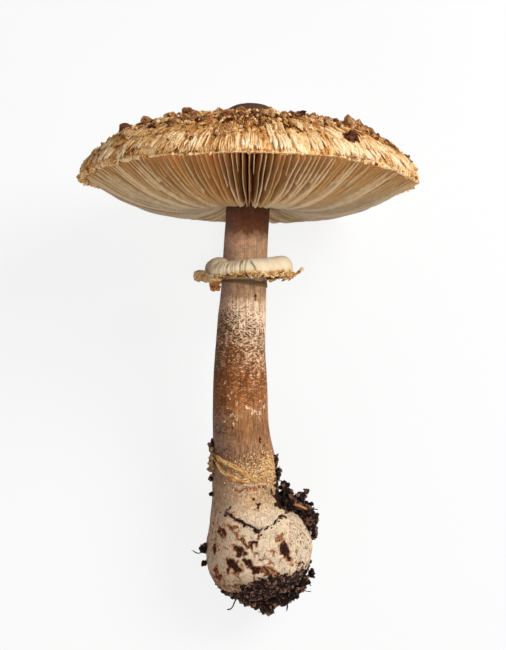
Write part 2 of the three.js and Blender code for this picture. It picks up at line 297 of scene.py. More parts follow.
def node(tree, kind, sockets=(), out=0, into=None, stops=(), **settings):
    """Adds a shader node with its settings, and returns one of its outputs. Sockets are told by name
    or number, or as a list in the node's own order, and take a number, a hex code or a link. Stops
    are the places and colours of a ramp, and into is a socket to feed."""
    made = tree.nodes.new("ShaderNode" + kind)
    for name, value in settings.items():
        setattr(made, name, value)
    for key, value in sockets.items() if isinstance(sockets, dict) else enumerate(sockets):
        if isinstance(value, bpy.types.NodeSocket):
            tree.links.new(value, made.inputs[key])
        else:
            made.inputs[key].default_value = linear(value) if isinstance(value, str) else value
    for _ in range(len(stops) - 2):
        made.color_ramp.elements.new(0.5)
    for i, (place, code) in enumerate(stops):
        made.color_ramp.elements[i].position = place
        made.color_ramp.elements[i].color = linear(code)
    if into:
        tree.links.new(made.outputs[out], into)
    return made.outputs[out]


def material(name, roughness, **settings):
    """A new material, a function that adds nodes to it, and its shader's inputs."""
    made = bpy.data.materials.new(name)
    made.use_nodes = True
    inputs = made.node_tree.nodes["Principled BSDF"].inputs
    inputs["Roughness"].default_value = roughness
    for key, value in settings.items():
        inputs[key.replace("_", " ")].default_value = value
    return made, partial(node, made.node_tree), inputs


def tissue(name, roughness, grains=(), masks=(), **settings):
    """A material for a grown piece. What it returns goes on with each point's place in growing
    millimetres, a noise there for each scale, detail and roughness in grains, and the masks."""
    made, add, inputs = material(name, roughness, **settings)
    grown = add("Attribute", out="Vector", attribute_name="grown")
    keys = ("Vector", "Scale", "Detail", "Roughness")
    noises = [add("TexNoise", dict(zip(keys, (grown, *grain)))) for grain in grains]
    return made, add, inputs, grown, *noises, *(
        add("Attribute", out="Fac", attribute_name=mask) for mask in masks
    )


# %% [markdown]
# ## The cap
#
# An opened parasol is a shallow dome with a nipple, the umbo, at its middle. The dome's height is
# one formula: a rounded-off disc plus a small bell. While the cap opened, its brown skin could not
# grow with it, and tore: the middle stayed whole and smooth, round it crumbs of skin stand in broken
# rings, and towards the margin the pale flesh shows in shaggy flakes that point outwards.

# %% The form of the cap
CAP_RADIUS = 75.0
CAP_OFFSET = -0.1
CAP_TILT = np.radians(1.0)
DOME_HEIGHT = 24.6
UMBO_HEIGHT, UMBO_RADIUS = 10.0, 16.0
REST_DENT, REST_DENT_WIDTH = 5.6, 22.0


def dome(radius):
    """Height over the rim plane: 24.6 (1 - (r/75)^3)^0.634 plus a bell, 10 exp(-(r/16)^3)."""
    disc = np.clip(1 - (radius / CAP_RADIUS) ** 3, 0, 1) ** 0.634
    return DOME_HEIGHT * disc + UMBO_HEIGHT * np.exp(-((radius / UMBO_RADIUS) ** 3))


def cap_placed(points):
    """From the cap's own frame to the stem's: the margin waves gently and is pressed flat at the
    back, where the cap lies on it; then the cap is tilted about Y and lifted to the rim's height."""
    x, y, z = points[..., 0], points[..., 1], points[..., 2]
    reach, angle = np.hypot(x, y) / CAP_RADIUS, np.arctan2(y, x)
    z = z + 0.5 * reach**4 * (np.sin(5 * angle + 0.6) + 0.6 * np.sin(8 * angle + 2))
    y = y - REST_DENT * ramp(y / CAP_RADIUS, 0.3, 0.9) * bell(x, REST_DENT_WIDTH)
    tilted_x = x * np.cos(CAP_TILT) + z * np.sin(CAP_TILT)
    tilted_z = z * np.cos(CAP_TILT) - x * np.sin(CAP_TILT)
    return spot(tilted_x + CAP_OFFSET, y, tilted_z + RIM_HEIGHT)


def round_about(radius, angle, height):
    """Points at a radius and an angle round the Z axis."""
    return spot(radius * np.cos(angle), radius * np.sin(angle), height)


# %% [markdown]
# The flakes are shingles of torn skin. Seeds are strewn on the skin, one to each cell of a grid that
# runs round the cap, and every point belongs to the seed that lies nearest: that gives patches with
# crooked, angular borders. Within its patch, the skin rises towards the margin and drops there onto
# the next patch. Two sizes of patches are laid over each other.

# %% The flakes of the skin
def ring_place(angle, along, columns, length):
    """A place on a cylinder whose girth is a number of columns, so that noise closes on itself."""
    girth = columns / (2 * np.pi)
    return spot(girth * np.cos(angle), girth * np.sin(angle), along / length)


def patches(across, along, columns, seed):
    """Nearest seeds on a grid that closes after a number of columns. Returns how far a point lies
    beyond its seed, the distance to the border of its patch, and the patch's number."""
    column, row = np.floor(across), np.floor(along)
    nearest = np.full(across.shape, 9.0)
    second, beyond, number = nearest.copy(), 0 * nearest, 0 * nearest
    for step in np.ndindex(3, 3):
        i, j = column + step[0] - 1, row + step[1] - 1
        cell = spot(i % columns, j, 0.0)
        seat = (i + lattice(cell, seed) - across, j + lattice(cell, seed + 1) - along)
        away = np.hypot(*seat)
        closer = away < nearest
        second = np.where(closer, nearest, np.minimum(second, away))
        beyond = np.where(closer, -seat[1], beyond)
        number = np.where(closer, lattice(cell, seed + 2), number)
        nearest = np.minimum(nearest, away)
    return beyond, second - nearest, number


SKIN_COLUMNS = 720
angle = full_turn(SKIN_COLUMNS)
dense = np.linspace(1.5, CAP_RADIUS - 0.05, 4000)
run = travelled(np.diff(dense), np.diff(dome(dense)))
SKIN_RUN = run[-1]
row_run = np.concatenate([np.linspace(0, 15, 7, endpoint=False), np.linspace(15, SKIN_RUN, 76)])
row_radius = np.interp(row_run, run, dense)[:, None]
from_margin = (SKIN_RUN - row_run)[:, None]

FLAKES, FLAKE_LENGTH = 96, 12.0  # large ones: so many round the cap, and a length in millimetres
SLIVERS, SLIVER_LENGTH = 210, 8.0
sway = noise(ring_place(angle, from_margin, 30, 14), 1)
sway = sway + 0.5 * noise(ring_place(angle, from_margin, 80, 5), 2)
turns = angle / (2 * np.pi)
beyond, border, flake_number = patches(
    turns * FLAKES + 0.5 * sway, -from_margin / FLAKE_LENGTH + 0.25 * sway, FLAKES, 3
)
sliver_beyond, sliver_border, _ = patches(
    turns * SLIVERS + 0.7 * sway, -from_margin / SLIVER_LENGTH + 0.3 * sway, SLIVERS, 6
)
fibre = rough(ring_place(angle, from_margin, 430, 6), 9)
crumbly = rough(ring_place(angle, from_margin, 300, 1.6), 12)
shaggy = ramp(row_radius, 18, 30)
flake = np.clip(0.5 + beyond, 0, 1.2) * ramp(border, 0.0, 0.16)
sliver = np.clip(0.5 + sliver_beyond, 0, 1.2) * ramp(sliver_border, 0.0, 0.2)
loose = ramp(flake_number, 0.25, 0.8)
relief = 0.8 * flake * (0.35 + 0.65 * loose) + 0.4 * sliver + 0.3 * fibre + 0.15 * crumbly
bald_edge = 17.5 + 1.6 * noise(ring_place(angle, 0 * from_margin, 22, 1), 16)
bald = ramp(row_radius, bald_edge + 0.5, bald_edge - 0.6)
brown_patch = ramp(rough(ring_place(angle, from_margin, 62, 7), 17), 0.05, 0.3) * ramp(row_radius, 68, 30)
relief = relief * shaggy * (1 - bald) + 0.8 * brown_patch * ramp(row_radius, 17, 24)
relief = relief + bald * 0.12 * rough(ring_place(angle, from_margin, 30, 6), 18) - 0.35
height = dome(row_radius)
slope = np.gradient(height[:, 0], row_radius[:, 0])[:, None]
tilt = 1 / np.hypot(1, slope)
skin_top = round_about(row_radius - relief * slope * tilt, angle, height + relief * tilt)
print("relief of the skin, mm:", np.round([relief.min(), relief.mean(), relief.max()], 2))

# %% [markdown]
# At the rim the skin hangs over the ends of the gills as a ragged fringe. How low it hangs is a short
# list of places round the rim, in degrees and millimetres: almost nothing in front, most on the left.
# The underside of the flesh follows the CAD model's stations and closes the piece.

# %% The margin and the underside
HANG = [
    (-180, 1.6), (-150, 2.4), (-136, 2.4), (-127, 1.3), (-117, 0.3), (-106, 0.1), (-94, -0.7),
    (-68, -0.7), (-60, 0.5), (-50, 1.2), (-20, 1.7), (90, 1.4), (180, 1.6),
]


def hang_at(angle):
    """How far the fringe hangs below the rim: straight lines between the listed places."""
    degrees = (np.degrees(angle) + 180) % 360 - 180
    return listed(degrees, HANG)


tatter, notch = (rough(ring_place(angle, 0, columns, 1), seed) for columns, seed in ((210, 21), (62, 22)))
hang = np.clip(hang_at(angle) + 0.5 * tatter + 0.5 * notch, -0.5, 3.4)
edge_out = 0.45 * tatter + 0.25 * relief[-1]
margin_rows = [
    (CAP_RADIUS + edge_out, 0.25 - 0.2 * hang),
    (CAP_RADIUS + 0.2 + edge_out, -0.55 * hang),
    (CAP_RADIUS - 0.1 + 0.7 * edge_out, -1.0 * hang),
    (CAP_RADIUS - 0.9 + 0.3 * edge_out, -1.1 * hang),
    (CAP_RADIUS - 1.4, -0.3 * hang),
    (73.4, 1.0),
    (66.0, 5.0),
    (50.0, 7.9),
    (30.0, 9.6),
    (11.8, 6.0),
]
margin = [round_about(radius + 0 * angle, angle, height) for radius, height in margin_rows]
skin_points = np.concatenate([skin_top, np.concatenate(margin)])
skin_rows = len(skin_points)
poles = np.array([[0, 0, dome(0) - 0.3], [0, 0, 3.2]])
skin_points = cap_placed(np.concatenate([skin_points.reshape(-1, 3), poles]))
skin_faces = [faces[:, ::-1] for faces in closed_faces(skin_rows, SKIN_COLUMNS)]


def over_skin(values, below, poles=(0.0, 0.0)):
    """A mask over the whole piece: its rows on top, one value for all rows below or one for each of
    them, and the two poles."""
    rows_below = np.broadcast_to(np.reshape(below, (-1, 1)), (len(margin), SKIN_COLUMNS))
    return np.concatenate([(values + 0 * angle).ravel(), rows_below.ravel(), poles])


# %% [markdown]
# The skin's finish: torn flesh is cream on the tips of the flakes, ochre on their backs and brown in
# the cracks between them, partly the outer skin that is left there and partly painted shade in the
# cracks, with fine fibres that run outwards. The bald umbo keeps the whole skin, smooth and dark.

# %% Cap skin
skin_finish, add, skin, grown, grain, tone, patch, bare, flesh = tissue(
    "torn parasol skin", 0.9, [(1.3, 5, 0.72)], ["tone", "patch", "bald", "flesh"], Specular_IOR_Level=0.0
)
outwards = add("Attribute", out="Vector", attribute_name="outwards")
strand = add("TexNoise", {"Vector": outwards, "Scale": 1.0, "Detail": 4, "Roughness": 0.7})
lit = add("Math", [grain, 1.2, tone], **SUM)
lit = add("Math", [strand, 1.9, lit], **SUM)
lit = add("Math", [lit, 0.5, -0.25], **SUM)
torn = add("ValToRGB", [lit], stops=[
    (0.38, "#54290f"), (0.5, "#a06834"), (0.61, "#d69a5a"), (0.74, "#f4c88c"), (0.92, "#ffeac4"),
])
both = add("Math", [strand, 1.0, grain], **SUM)
half = add("Math", [both, 0.5], **PRODUCT)
brown = add("ValToRGB", [half], stops=[(0.38, "#4a290f"), (0.62, "#99663a")])
dark = add("ValToRGB", [grain], stops=[(0.3, "#50342a"), (0.75, "#77584a")])
for share, paint in ((patch, brown), (bare, dark), (flesh, "#e6a47c")):
    torn = add("Mix", {0: share, 6: torn, 7: paint}, into=skin["Base Color"], **COLOUR)
add("Bump", {"Height": both, "Distance": 0.0005, "Strength": 0.8}, into=skin["Normal"])

tone = -0.1 + 0.26 * flake + 0.2 * sliver + 0.1 * fibre + 0.24 * (flake_number - 0.5)
# The tone drops at the borders between patches: painted shade in the cracks, besides the brown skin left
# there.
tone = tone - 0.2 * (1 - ramp(border, 0, 0.12)) + 0.17 * ramp(row_radius, 60, 75)
tone = tone - 0.12 * ramp(row_radius, 46, 26)
strand_place = np.concatenate([
    ring_place(angle, from_margin, 420, 5).reshape(-1, 3),
    ring_place(angle, np.arange(len(margin))[:, None], 420, 5).reshape(-1, 3),
    np.zeros((2, 3)),
])
piece(
    "cap_skin", skin_points, skin_faces, skin_finish, "cap_skin", ["cap"],
    tone=over_skin(tone, 0.5), patch=over_skin(0.85 * brown_patch, 0),
    bald=over_skin(bald, 0, (1.0, 0.0)), outwards=strand_place,
    flesh=over_skin(0 * tone, np.repeat([0, 1], 5), (0.0, 1.0)),
)

# %% [markdown]
# Over the skin lie the shreds: some thousands of torn fibres, like wet wood shavings. They grow in
# tufts that end together, so that the skin looks laid in flakes. Each shred starts in the skin, runs
# outwards and ends in a blunt tip that stands off it, where light and shade catch. It has five
# stations with four corners each, and all shreds are worked out in one array.

# %% One shred
STATIONS = np.array([0, 0.3, 0.6, 0.85, 1.0])
STATION_WIDTH = np.array([0.5, 0.95, 1.0, 0.8, 0.3])
STATION_TOP = np.array([-0.5, 0.45, 0.8, 1.0, 0.85])
STATION_FOOT = np.array([-1.0, -0.7, -0.3, 0.2, 0.5])
CORNERS = 4
SHRED_POINTS = len(STATIONS) * CORNERS


def shreds(turn, start, end, width, lift, lean, seed):
    """Tapered strips on the dome. A station lies at t of the way from start to end, both told from
    the margin, and turns by lean * t. Its corners are left, ridge, right and foot, at width, top and
    foot times the strip's own width and lift, measured along the dome and square to it, and each
    width is uneven by chance. Returns points, faces, each point's place along its strip and a place
    for its fibres."""
    count = len(turn)
    to_margin = start[:, None] + (end - start)[:, None] * STATIONS
    past = np.maximum(-to_margin, 0)
    radius = np.interp(SKIN_RUN - to_margin, run, dense)
    wave = 0.4 * noise(spot(to_margin / 4, turn[:, None] * 9, seed), seed)
    around = turn[:, None] + (lean[:, None] * STATIONS + wave) / radius
    slope = np.interp(radius, row_radius[:, 0], slope_rows)
    tilt = 1 / np.hypot(1, slope)
    top = lift[:, None] * STATION_TOP + 0.25
    foot = lift[:, None] * STATION_FOOT
    uneven = np.random.default_rng(seed).uniform(0.6, 1.35, (count, len(STATIONS)))
    side = width[:, None] * STATION_WIDTH * uneven / 2
    flank = 0.45 * top + 0.55 * foot
    across = np.stack([-side, (uneven - 1) * side, side, 0 * side], -1)
    above = np.stack([flank, top, flank, foot], -1)
    far = (radius + 0.1 * past)[..., None] - above * (slope * tilt)[..., None]
    high = (dome(radius) - past)[..., None] + above * tilt[..., None]
    points = round_about(far, around[..., None] + across / radius[..., None], high)
    block = np.concatenate([grid_faces(len(STATIONS), CORNERS), [[3, 2, 1, 0], [16, 17, 18, 19]]])
    place = spot(across * 2.2, to_margin[..., None] / 5, 7.3 * np.arange(count)[:, None, None])
    t = np.broadcast_to(STATIONS[None, :, None], across.shape)
    points, faces = cap_placed(points).reshape(-1, 3), copies(block, count, SHRED_POINTS)
    return points, faces, t.ravel(), place.reshape(-1, 3)


# %% [markdown]
# The tufts are strewn evenly over the dome's surface. A tuft draws its own place, breadth, lean, lift
# and tone, and its shreds differ from it a little.

# %% Tufts of shreds
slope_rows = slope[:, 0]
draw = np.random.default_rng(14)
TUFTS, IN_TUFT = 680, 7
TUFTLESS = 23  # millimetres along the skin, from the middle
tuft_end = (SKIN_RUN - TUFTLESS) * draw.uniform(0, 1, 3 * TUFTS) ** 1.5 - 1
kept = draw.uniform(0, CAP_RADIUS, 3 * TUFTS) < np.interp(SKIN_RUN - tuft_end, run, dense)
tuft_end = tuft_end[kept][:TUFTS]
tuft_radius = np.interp(SKIN_RUN - tuft_end, run, dense)
tuft_turn = draw.uniform(-np.pi, np.pi, TUFTS)
tuft_breadth = draw.uniform(2.5, 8.5, TUFTS) * (0.5 + 0.5 * tuft_radius / CAP_RADIUS)
tuft_tone = 0.17 * draw.normal(0, 1, TUFTS)
tuft_tone = tuft_tone + 0.3 * ramp(tuft_radius, 66, 75) - 0.22 * ramp(tuft_radius, 66, 30)
# The tufts on the cap's sides are painted darker, those on the left much more and those on the right a
# little: painted shade on the side away from the key lamp.
to_right = np.cos(tuft_turn)
tuft_tone = tuft_tone + (0.12 * to_right - 0.16 * np.abs(to_right)) * ramp(tuft_radius, 20, 60)
# Dark patches near the rim are partly random and partly painted shade: more of them lie on the left.
tuft_patch = noise(round_about(tuft_radius / 9, tuft_turn, 0.0), 19) - 0.3 * np.minimum(to_right, 0)
tuft_tone = tuft_tone - 0.3 * ramp(tuft_patch, 0.1, 0.6) * ramp(tuft_radius, 74.5, 70)
# The left side is darkened once more, unevenly: painted shade.
on_left = ramp(-to_right, 0.1, 0.8)
tuft_tone = tuft_tone - on_left * (0.06 + 0.16 * noise(round_about(tuft_radius / 5, tuft_turn, 3.0), 20))
tuft_coarse = draw.uniform(0, 1, TUFTS) ** 2
tuft = np.repeat(np.arange(TUFTS), IN_TUFT)
count = TUFTS * IN_TUFT
beside = np.tile(np.linspace(-0.5, 0.5, IN_TUFT), TUFTS) + draw.normal(0, 0.06, count)
shred_turn = tuft_turn[tuft] + beside * tuft_breadth[tuft] / tuft_radius[tuft]
bow = 3.2 * draw.uniform(-0.6, 1, TUFTS)[tuft] * beside**2
shred_end = np.maximum(tuft_end[tuft] + bow + draw.normal(0, 0.55, count), -hang_at(shred_turn))
shred_end = np.maximum(shred_end, draw.uniform(-0.5, 0.6, count) - np.maximum(hang_at(shred_turn), 0))
shred_length = draw.uniform(5, 12, TUFTS)[tuft] + draw.normal(0, 1.2, count)
shred_width = tuft_breadth[tuft] / IN_TUFT * draw.uniform(0.8, 1.7, count) * (1 + 0.5 * tuft_coarse[tuft])
shred_lift = draw.uniform(0.25, 1.3, TUFTS)[tuft] * draw.uniform(0.8, 1.15, count)
lean = draw.normal(0, 0.9, TUFTS)[tuft] + draw.normal(0, 0.35, count) - 2.6 * np.sin(2 * tuft_turn)[tuft]
points, faces, along, place = shreds(
    shred_turn, shred_end + np.maximum(shred_length, 2.5), shred_end, shred_width, shred_lift, lean, 15
)
tone = np.repeat(tuft_tone[tuft] + draw.normal(0, 0.09, count), SHRED_POINTS) + 0.05 + 0.3 * along
piece("cap_shreds", points, [faces], skin_finish, "cap_skin", tone=tone, outwards=place)

# %% [markdown]
# The scales are what is left of the skin: crumbs with broken faces. A crumb is a ball that is cut
# flat by a few planes at random and then roughened by noise. One ball is made and all crumbs are
# copies of its array, each stretched, turned and broken in its own way.

# %% Crumbs
def ball(levels):
    """The points and triangles of a unit ball split from an icosahedron."""
    mesh = bmesh.new()
    bmesh.ops.create_icosphere(mesh, subdivisions=levels, radius=1)
    points = np.array([v.co[:] for v in mesh.verts])
    faces = np.array([[v.index for v in face.verts] for face in mesh.faces])
    mesh.free()
    return points, faces


def crumbs(centres, radii, levels, seed, rough_by, spin=np.pi, cuts=11):
    """Balls for each centre. A plane with normal n at distance d pulls each point p that lies beyond
    it back by d / (p . n). Then each ball is roughened by 1 + rough_by noise, stretched to its radii
    and turned by up to spin about three axes. Returns points, faces, and each point's number and
    height."""
    points, faces = ball(levels)
    draw = np.random.default_rng(seed)
    count = len(centres)
    radii = np.broadcast_to(np.reshape(radii, (count, -1)), (count, 3))
    shift = draw.uniform(0, 90, (count, 1, 3))
    normals = unit(draw.normal(0, 1, (count, cuts, 3)))
    distance = draw.uniform(0.42, 0.85, (count, 1, cuts))
    pulled = (distance / np.maximum(points @ normals.transpose(0, 2, 1), distance)).min(axis=2)
    bumps = rough(points * 1.3 + shift, seed, 4) + 0.5 * np.abs(noise(points * 2.4 + shift, seed + 9))
    swollen = points * (1.25 * pulled + rough_by * bumps)[..., None] * radii[:, None]
    turn = draw.uniform(-spin, spin, (count, 3))
    for axis in range(3):
        c, s = np.cos(turn[:, axis]), np.sin(turn[:, axis])
        matrix = np.zeros((count, 3, 3))
        i, j = (axis + 1) % 3, (axis + 2) % 3
        matrix[:, axis, axis] = 1
        matrix[:, i, i], matrix[:, i, j], matrix[:, j, i], matrix[:, j, j] = c, -s, s, c
        swollen = swollen @ matrix.transpose(0, 2, 1)
    placed = swollen + np.reshape(centres, (count, 1, 3))
    number = np.repeat(draw.uniform(0, 1, count), len(points))
    return placed.reshape(-1, 3), copies(faces, count, len(points)), number, bumps.ravel()


def gathered(*clouds):
    """Several clouds of crumbs as one: their faces are counted on from each other's points."""
    shift = np.cumsum([0] + [len(cloud[0]) for cloud in clouds[:-1]])
    faces = np.concatenate([cloud[1] + by for cloud, by in zip(clouds, shift)])
    points, numbers, bumps = (np.concatenate([cloud[k] for cloud in clouds]) for k in (0, 2, 3))
    return points, faces, numbers, bumps


# %% [markdown]
# The rings of scales follow the CAD model's: so many to a ring, with a slow drift that breaks the
# rings up. Smaller crumbs are strewn between them, most of them near the umbo.

# %% Scales on the cap
SCALE_RINGS = [(21, 11, 3.2), (31, 9, 2.9), (43, 8, 2.8), (56, 6, 2.6)]
LARGE_SCALES = [(-20, 51, 4.2), (-36, 60, 3.4), (-172, 56, 4.8), (-163, 47, 4.8), (-150, 40, 3.6)]
FRONT_SCALES = [
    (-137, 69, 3.4), (-127, 66, 2.4), (-119, 62, 2.7), (-115, 60, 1.8), (-111, 60, 1.8), (-106, 60, 2.5),
    (-99, 58, 2.8), (-94, 57, 2.6), (-88, 57, 2.6), (-82, 56, 2.8), (-75, 54, 2.4), (-67, 52, 3.0),
    (-57, 57, 2.6), (-49, 61, 4.0), (-34, 61, 2.2), (-31, 67, 2.0), (-28, 70, 1.8),
    (-19, 72, 1.8), (-153, 73, 2.2), (-176, 73, 2.0), (-108, 72.5, 1.5), (-97, 70, 1.5),
]


def drift(radius, i):
    """The slow unevenness that moves each scale from its even place: three waves over 2.2."""
    waves = (2.1 * radius + 1.3 * i + 5.7, -1.2 * radius + 2.4 * i + 9.3, 3.3 * radius - 2.2 * i + 2.1)
    return sum(np.sin(wave) for wave in waves) / 2.2


rows = []
for radius, count, size in SCALE_RINGS:
    i = np.arange(count)
    by = drift(radius, i)
    rows.append(spot(360 * i / count + 9 * by, radius + 3 * by, size * (1 + 0.3 * by)))
scale_rows = np.concatenate(rows + [np.array(LARGE_SCALES + FRONT_SCALES, float)])


def on_dome(degrees, radius, lift):
    """Points in the stem's frame, at a lift above the dome's skin."""
    return cap_placed(round_about(radius, np.radians(degrees), dome(radius) + lift))


draw = np.random.default_rng(21)
large = crumbs(
    on_dome(scale_rows[:, 0], scale_rows[:, 1], 0.34 * scale_rows[:, 2]),
    scale_rows[:, 2:] * [0.88, 0.7, 0.74], 3, 31, 0.4, 0.9, 16,
)
lump = np.repeat(np.arange(len(scale_rows)), 5)
beside = scale_rows[lump] + draw.normal(0, 1, (len(lump), 3)) * [4.5, 1.8, 0.3]
medium = crumbs(
    on_dome(beside[:, 0], beside[:, 1], 1.0), np.clip(0.34 * beside[:, 2:], 0.5, 2) * [1.2, 0.9, 0.8],
    1, 32, 0.35,
)
STREWN = 330
around = draw.uniform(0, 360, STREWN)
away = 19 + 52 * draw.uniform(0, 1, STREWN) ** 1.3
small = crumbs(on_dome(around, away, 0.9), draw.uniform(0.4, 1.3, (STREWN, 1)) * [1.3, 1, 0.8], 1, 33, 0.35)
dark_scale = crumbs(on_dome(np.array([-55.4]), np.array([71.4]), 1.4), [(4.4, 2.7, 2.6)], 3, 34, 0.4, 0.5, 16)
dark_scale = (*dark_scale[:2], 0 * dark_scale[2], dark_scale[3] - 0.17)
points, faces, number, height = gathered(large, medium, small, dark_scale)

scale_finish, add, crust, grown, grain, number_mask, height_mask = tissue(
    "brown skin crumb", 0.82, [(0.9, 5, 0.65)], ["number", "height"], Specular_IOR_Level=0.2
)
tone = add("Math", [grain, 0.9, height_mask], **SUM)
tone = add("Math", [number_mask, 0.35, tone], **SUM)
stops = [(0.42, "#3a1404"), (0.58, "#703f22"), (0.76, "#a67040"), (1.0, "#dcb07e")]
add("ValToRGB", [tone], stops=stops, into=crust["Base Color"])
add("Bump", {"Height": grain, "Distance": 0.0014, "Strength": 0.9}, into=crust["Normal"])
piece(
    "cap_scales", points, [faces], scale_finish, "cap_skin", smooth=False, number=number, height=0.32 * height
)

# %% [markdown]
# Along the rim the torn flesh curls up into pale knobs, most of them at the sides. Chips of torn flesh
# lie all over the shreds.

# %% Knobs and chips
KNOBS = 560
draw = np.random.default_rng(41)
knob_turn = draw.uniform(-np.pi, np.pi, 2 * KNOBS)
knob_turn = knob_turn[draw.uniform(0, 1, 2 * KNOBS) < 0.25 + 0.75 * ramp(hang_at(knob_turn), 0, 1)][:KNOBS]
KNOBS = len(knob_turn)
low = -hang_at(knob_turn) * draw.uniform(0.2, 1.0, KNOBS) + draw.normal(0.1, 0.25, KNOBS)
knob_place = round_about(CAP_RADIUS - 0.2 + draw.normal(0, 0.3, KNOBS), knob_turn, low)
knob_size = draw.uniform(0.35, 0.95, KNOBS) * (1 + 0.7 * ramp(-np.cos(knob_turn), 0.5, 0.95))
knobs = crumbs(cap_placed(knob_place), knob_size[:, None] * [1, 1, 1.2], 1, 42, 0.35)
CHIPS = 1500
chip_radius = 24 + 49 * draw.uniform(0, 1, CHIPS) ** 0.8
chip_place = on_dome(draw.uniform(0, 360, CHIPS), chip_radius, draw.uniform(0.7, 1.3, CHIPS))
chips = crumbs(chip_place, draw.uniform(0.3, 1.1, (CHIPS, 1)) * [0.8, 0.8, 1.1], 1, 43, 0.5)
points, faces, number, height = gathered(knobs, chips)
piece(
    "rim_knobs", points, [faces], skin_finish, "cap_skin", smooth=False,
    tone=-0.15 + 0.75 * number + 0.25 * height, outwards=points,
)

# %% [markdown]
# ## The gills
#
# Under the cap hang nearly two hundred thin blades of flesh, set on edge like the pages of a book.
# Two of three run from the rim almost to the stem, which they do not touch; the third is short. Each
# blade hangs from the flesh, thins towards its free edge and waves a little. The edges reach
# deepest not far from the stem and rise in a long arch to the rim.

# %% The blades
GILLS = 192
BLADE_STATIONS = 26
SHORT_GILLS_FROM = (38, 62)  # every third gill starts between these radii
GILL_INNER_RADIUS, GILL_OUTER_RADIUS = 11.8, 73.3
GILL_CREST_RADIUS, GILL_DEPTH, GILL_INNER_DEPTH = 32.0, 16.0, 10.5
FLESH = [(11.8, 6.0), (30, 9.6), (50, 7.9), (66, 5.0), (73.4, 1.3)]


def gill_depth(radius):
    """Depth of the free edges: one parabola from the crest to the rim, one back to the inner end."""
    out = (radius - GILL_CREST_RADIUS) / (CAP_RADIUS - GILL_CREST_RADIUS)
    inward = (GILL_CREST_RADIUS - radius) / (GILL_CREST_RADIUS - GILL_INNER_RADIUS)
    short = (GILL_DEPTH - GILL_INNER_DEPTH) * inward**2
    return np.where(radius > GILL_CREST_RADIUS, GILL_DEPTH * (1 - out**2), GILL_DEPTH - short)


draw = np.random.default_rng(5)
i = np.arange(GILLS)
starts = np.where(i % 3 == 1, draw.uniform(*SHORT_GILLS_FROM, GILLS), GILL_INNER_RADIUS)
turn = 2 * np.pi * (i + draw.uniform(-0.15, 0.15, GILLS)) / GILLS
along = np.linspace(0, 1, BLADE_STATIONS)
radius = starts[:, None] + (GILL_OUTER_RADIUS - starts[:, None]) * along[None, :]
under = through(FLESH, radius) + 0.35
rounding = np.where(starts == GILL_INNER_RADIUS, 3.0, 9.0)[:, None]
inner_end = np.sqrt(np.clip((radius - starts[:, None] + 0.4) / rounding, 0, 1))
edge = -gill_depth(radius) * inner_end + under * (1 - inner_end)
blade_number = lattice(spot(i, 3.0, 1.0), 7)[:, None]
cluster = noise(spot(i / 2.3, 0.0, 0.0), 8)[:, None]
edge = edge + 0.4 + 0.35 * noise(spot(radius / 5, 9.1 * i[:, None], 0.0), 2)
edge = edge + 0.5 * (blade_number - 0.5) + 0.15 * cluster
down = np.array([0, 0.35, 0.7, 0.92, 1, 0.92, 0.7, 0.35, 0])
side = np.array([1, 1, 0.85, 0.6, 0, -0.6, -0.85, -1, -1.0])
pitch = 2 * np.pi * radius / np.where(radius < 40, GILLS * 2 / 3, GILLS)
half = np.minimum(0.27, 0.2 * pitch)[..., None] * side
height = under[..., None] + (edge - under)[..., None] * down
spread = spot(radius[..., None] / 9, height / 9, 3.7 * i[:, None, None])
sway = 0.34 * np.minimum(1, radius / 45)[..., None] * noise(spread, 4) * (0.25 + down)
across = half + sway
angle_out = turn[:, None, None]
x = radius[..., None] * np.cos(angle_out) - across * np.sin(angle_out)
y = radius[..., None] * np.sin(angle_out) + across * np.cos(angle_out)
blades = spot(x, y, height)
section = len(down)
one = grid_faces(BLADE_STATIONS, section)
cap_end = np.array([[0, 1, 7, 8], [1, 2, 6, 7], [2, 3, 5, 6]])
cap_tip = np.array([[3, 4, 5]])
far = (BLADE_STATIONS - 1) * section
parts = (one, cap_end[:, ::-1], cap_end + far, cap_tip[:, ::-1], cap_tip + far)
gill_faces = [copies(part, GILLS, BLADE_STATIONS * section) for part in parts]

gill_finish, add, gill, grown, grain, deep = tissue(
    "gill flesh", 0.8, [(0.35, 4, 0.6)], ["deep"], Specular_IOR_Level=0.0, Subsurface_Weight=0.25,
    Subsurface_Scale=0.002, Subsurface_Radius=(1.0, 0.6, 0.4),
)
# The colour runs from cream at the free edges through tan to bright orange at the roots, deep in the gaps
# between the blades: the orange is painted light that stands in for light glowing through the thin blades.
# Blades and clusters of blades also differ at random in tone.
tone = add("Math", [grain, 0.35, deep], **SUM)
stops = [(0.08, "#e4c094"), (0.26, "#b28858"), (0.6, "#e6ac6a"), (1.0, "#ffb06c")]
add("ValToRGB", [tone], stops=stops, into=gill["Base Color"])
piece(
    "gill_blades", cap_placed(blades).reshape(-1, 3), gill_faces, gill_finish, "gill_flesh", ["gills"],
    deep=1 - down + 0.16 * (blade_number[..., None] - 0.5) + 0.16 * cluster[..., None] + 0 * height,
)

# %% [markdown]
# ## The stem and its bulb
#
# Stem and bulb grew in one, so they are one surface. Under the bulb's middle it is a ball with a few
# broad swellings. Above it, rays go out level from an axis inside the mushroom, and each point is
# the further one of two: where the ray leaves the stem, and where it leaves the bulb. The foot of
# the stem reaches forward over the bulb, and where the two meet, soil sits in a crease.

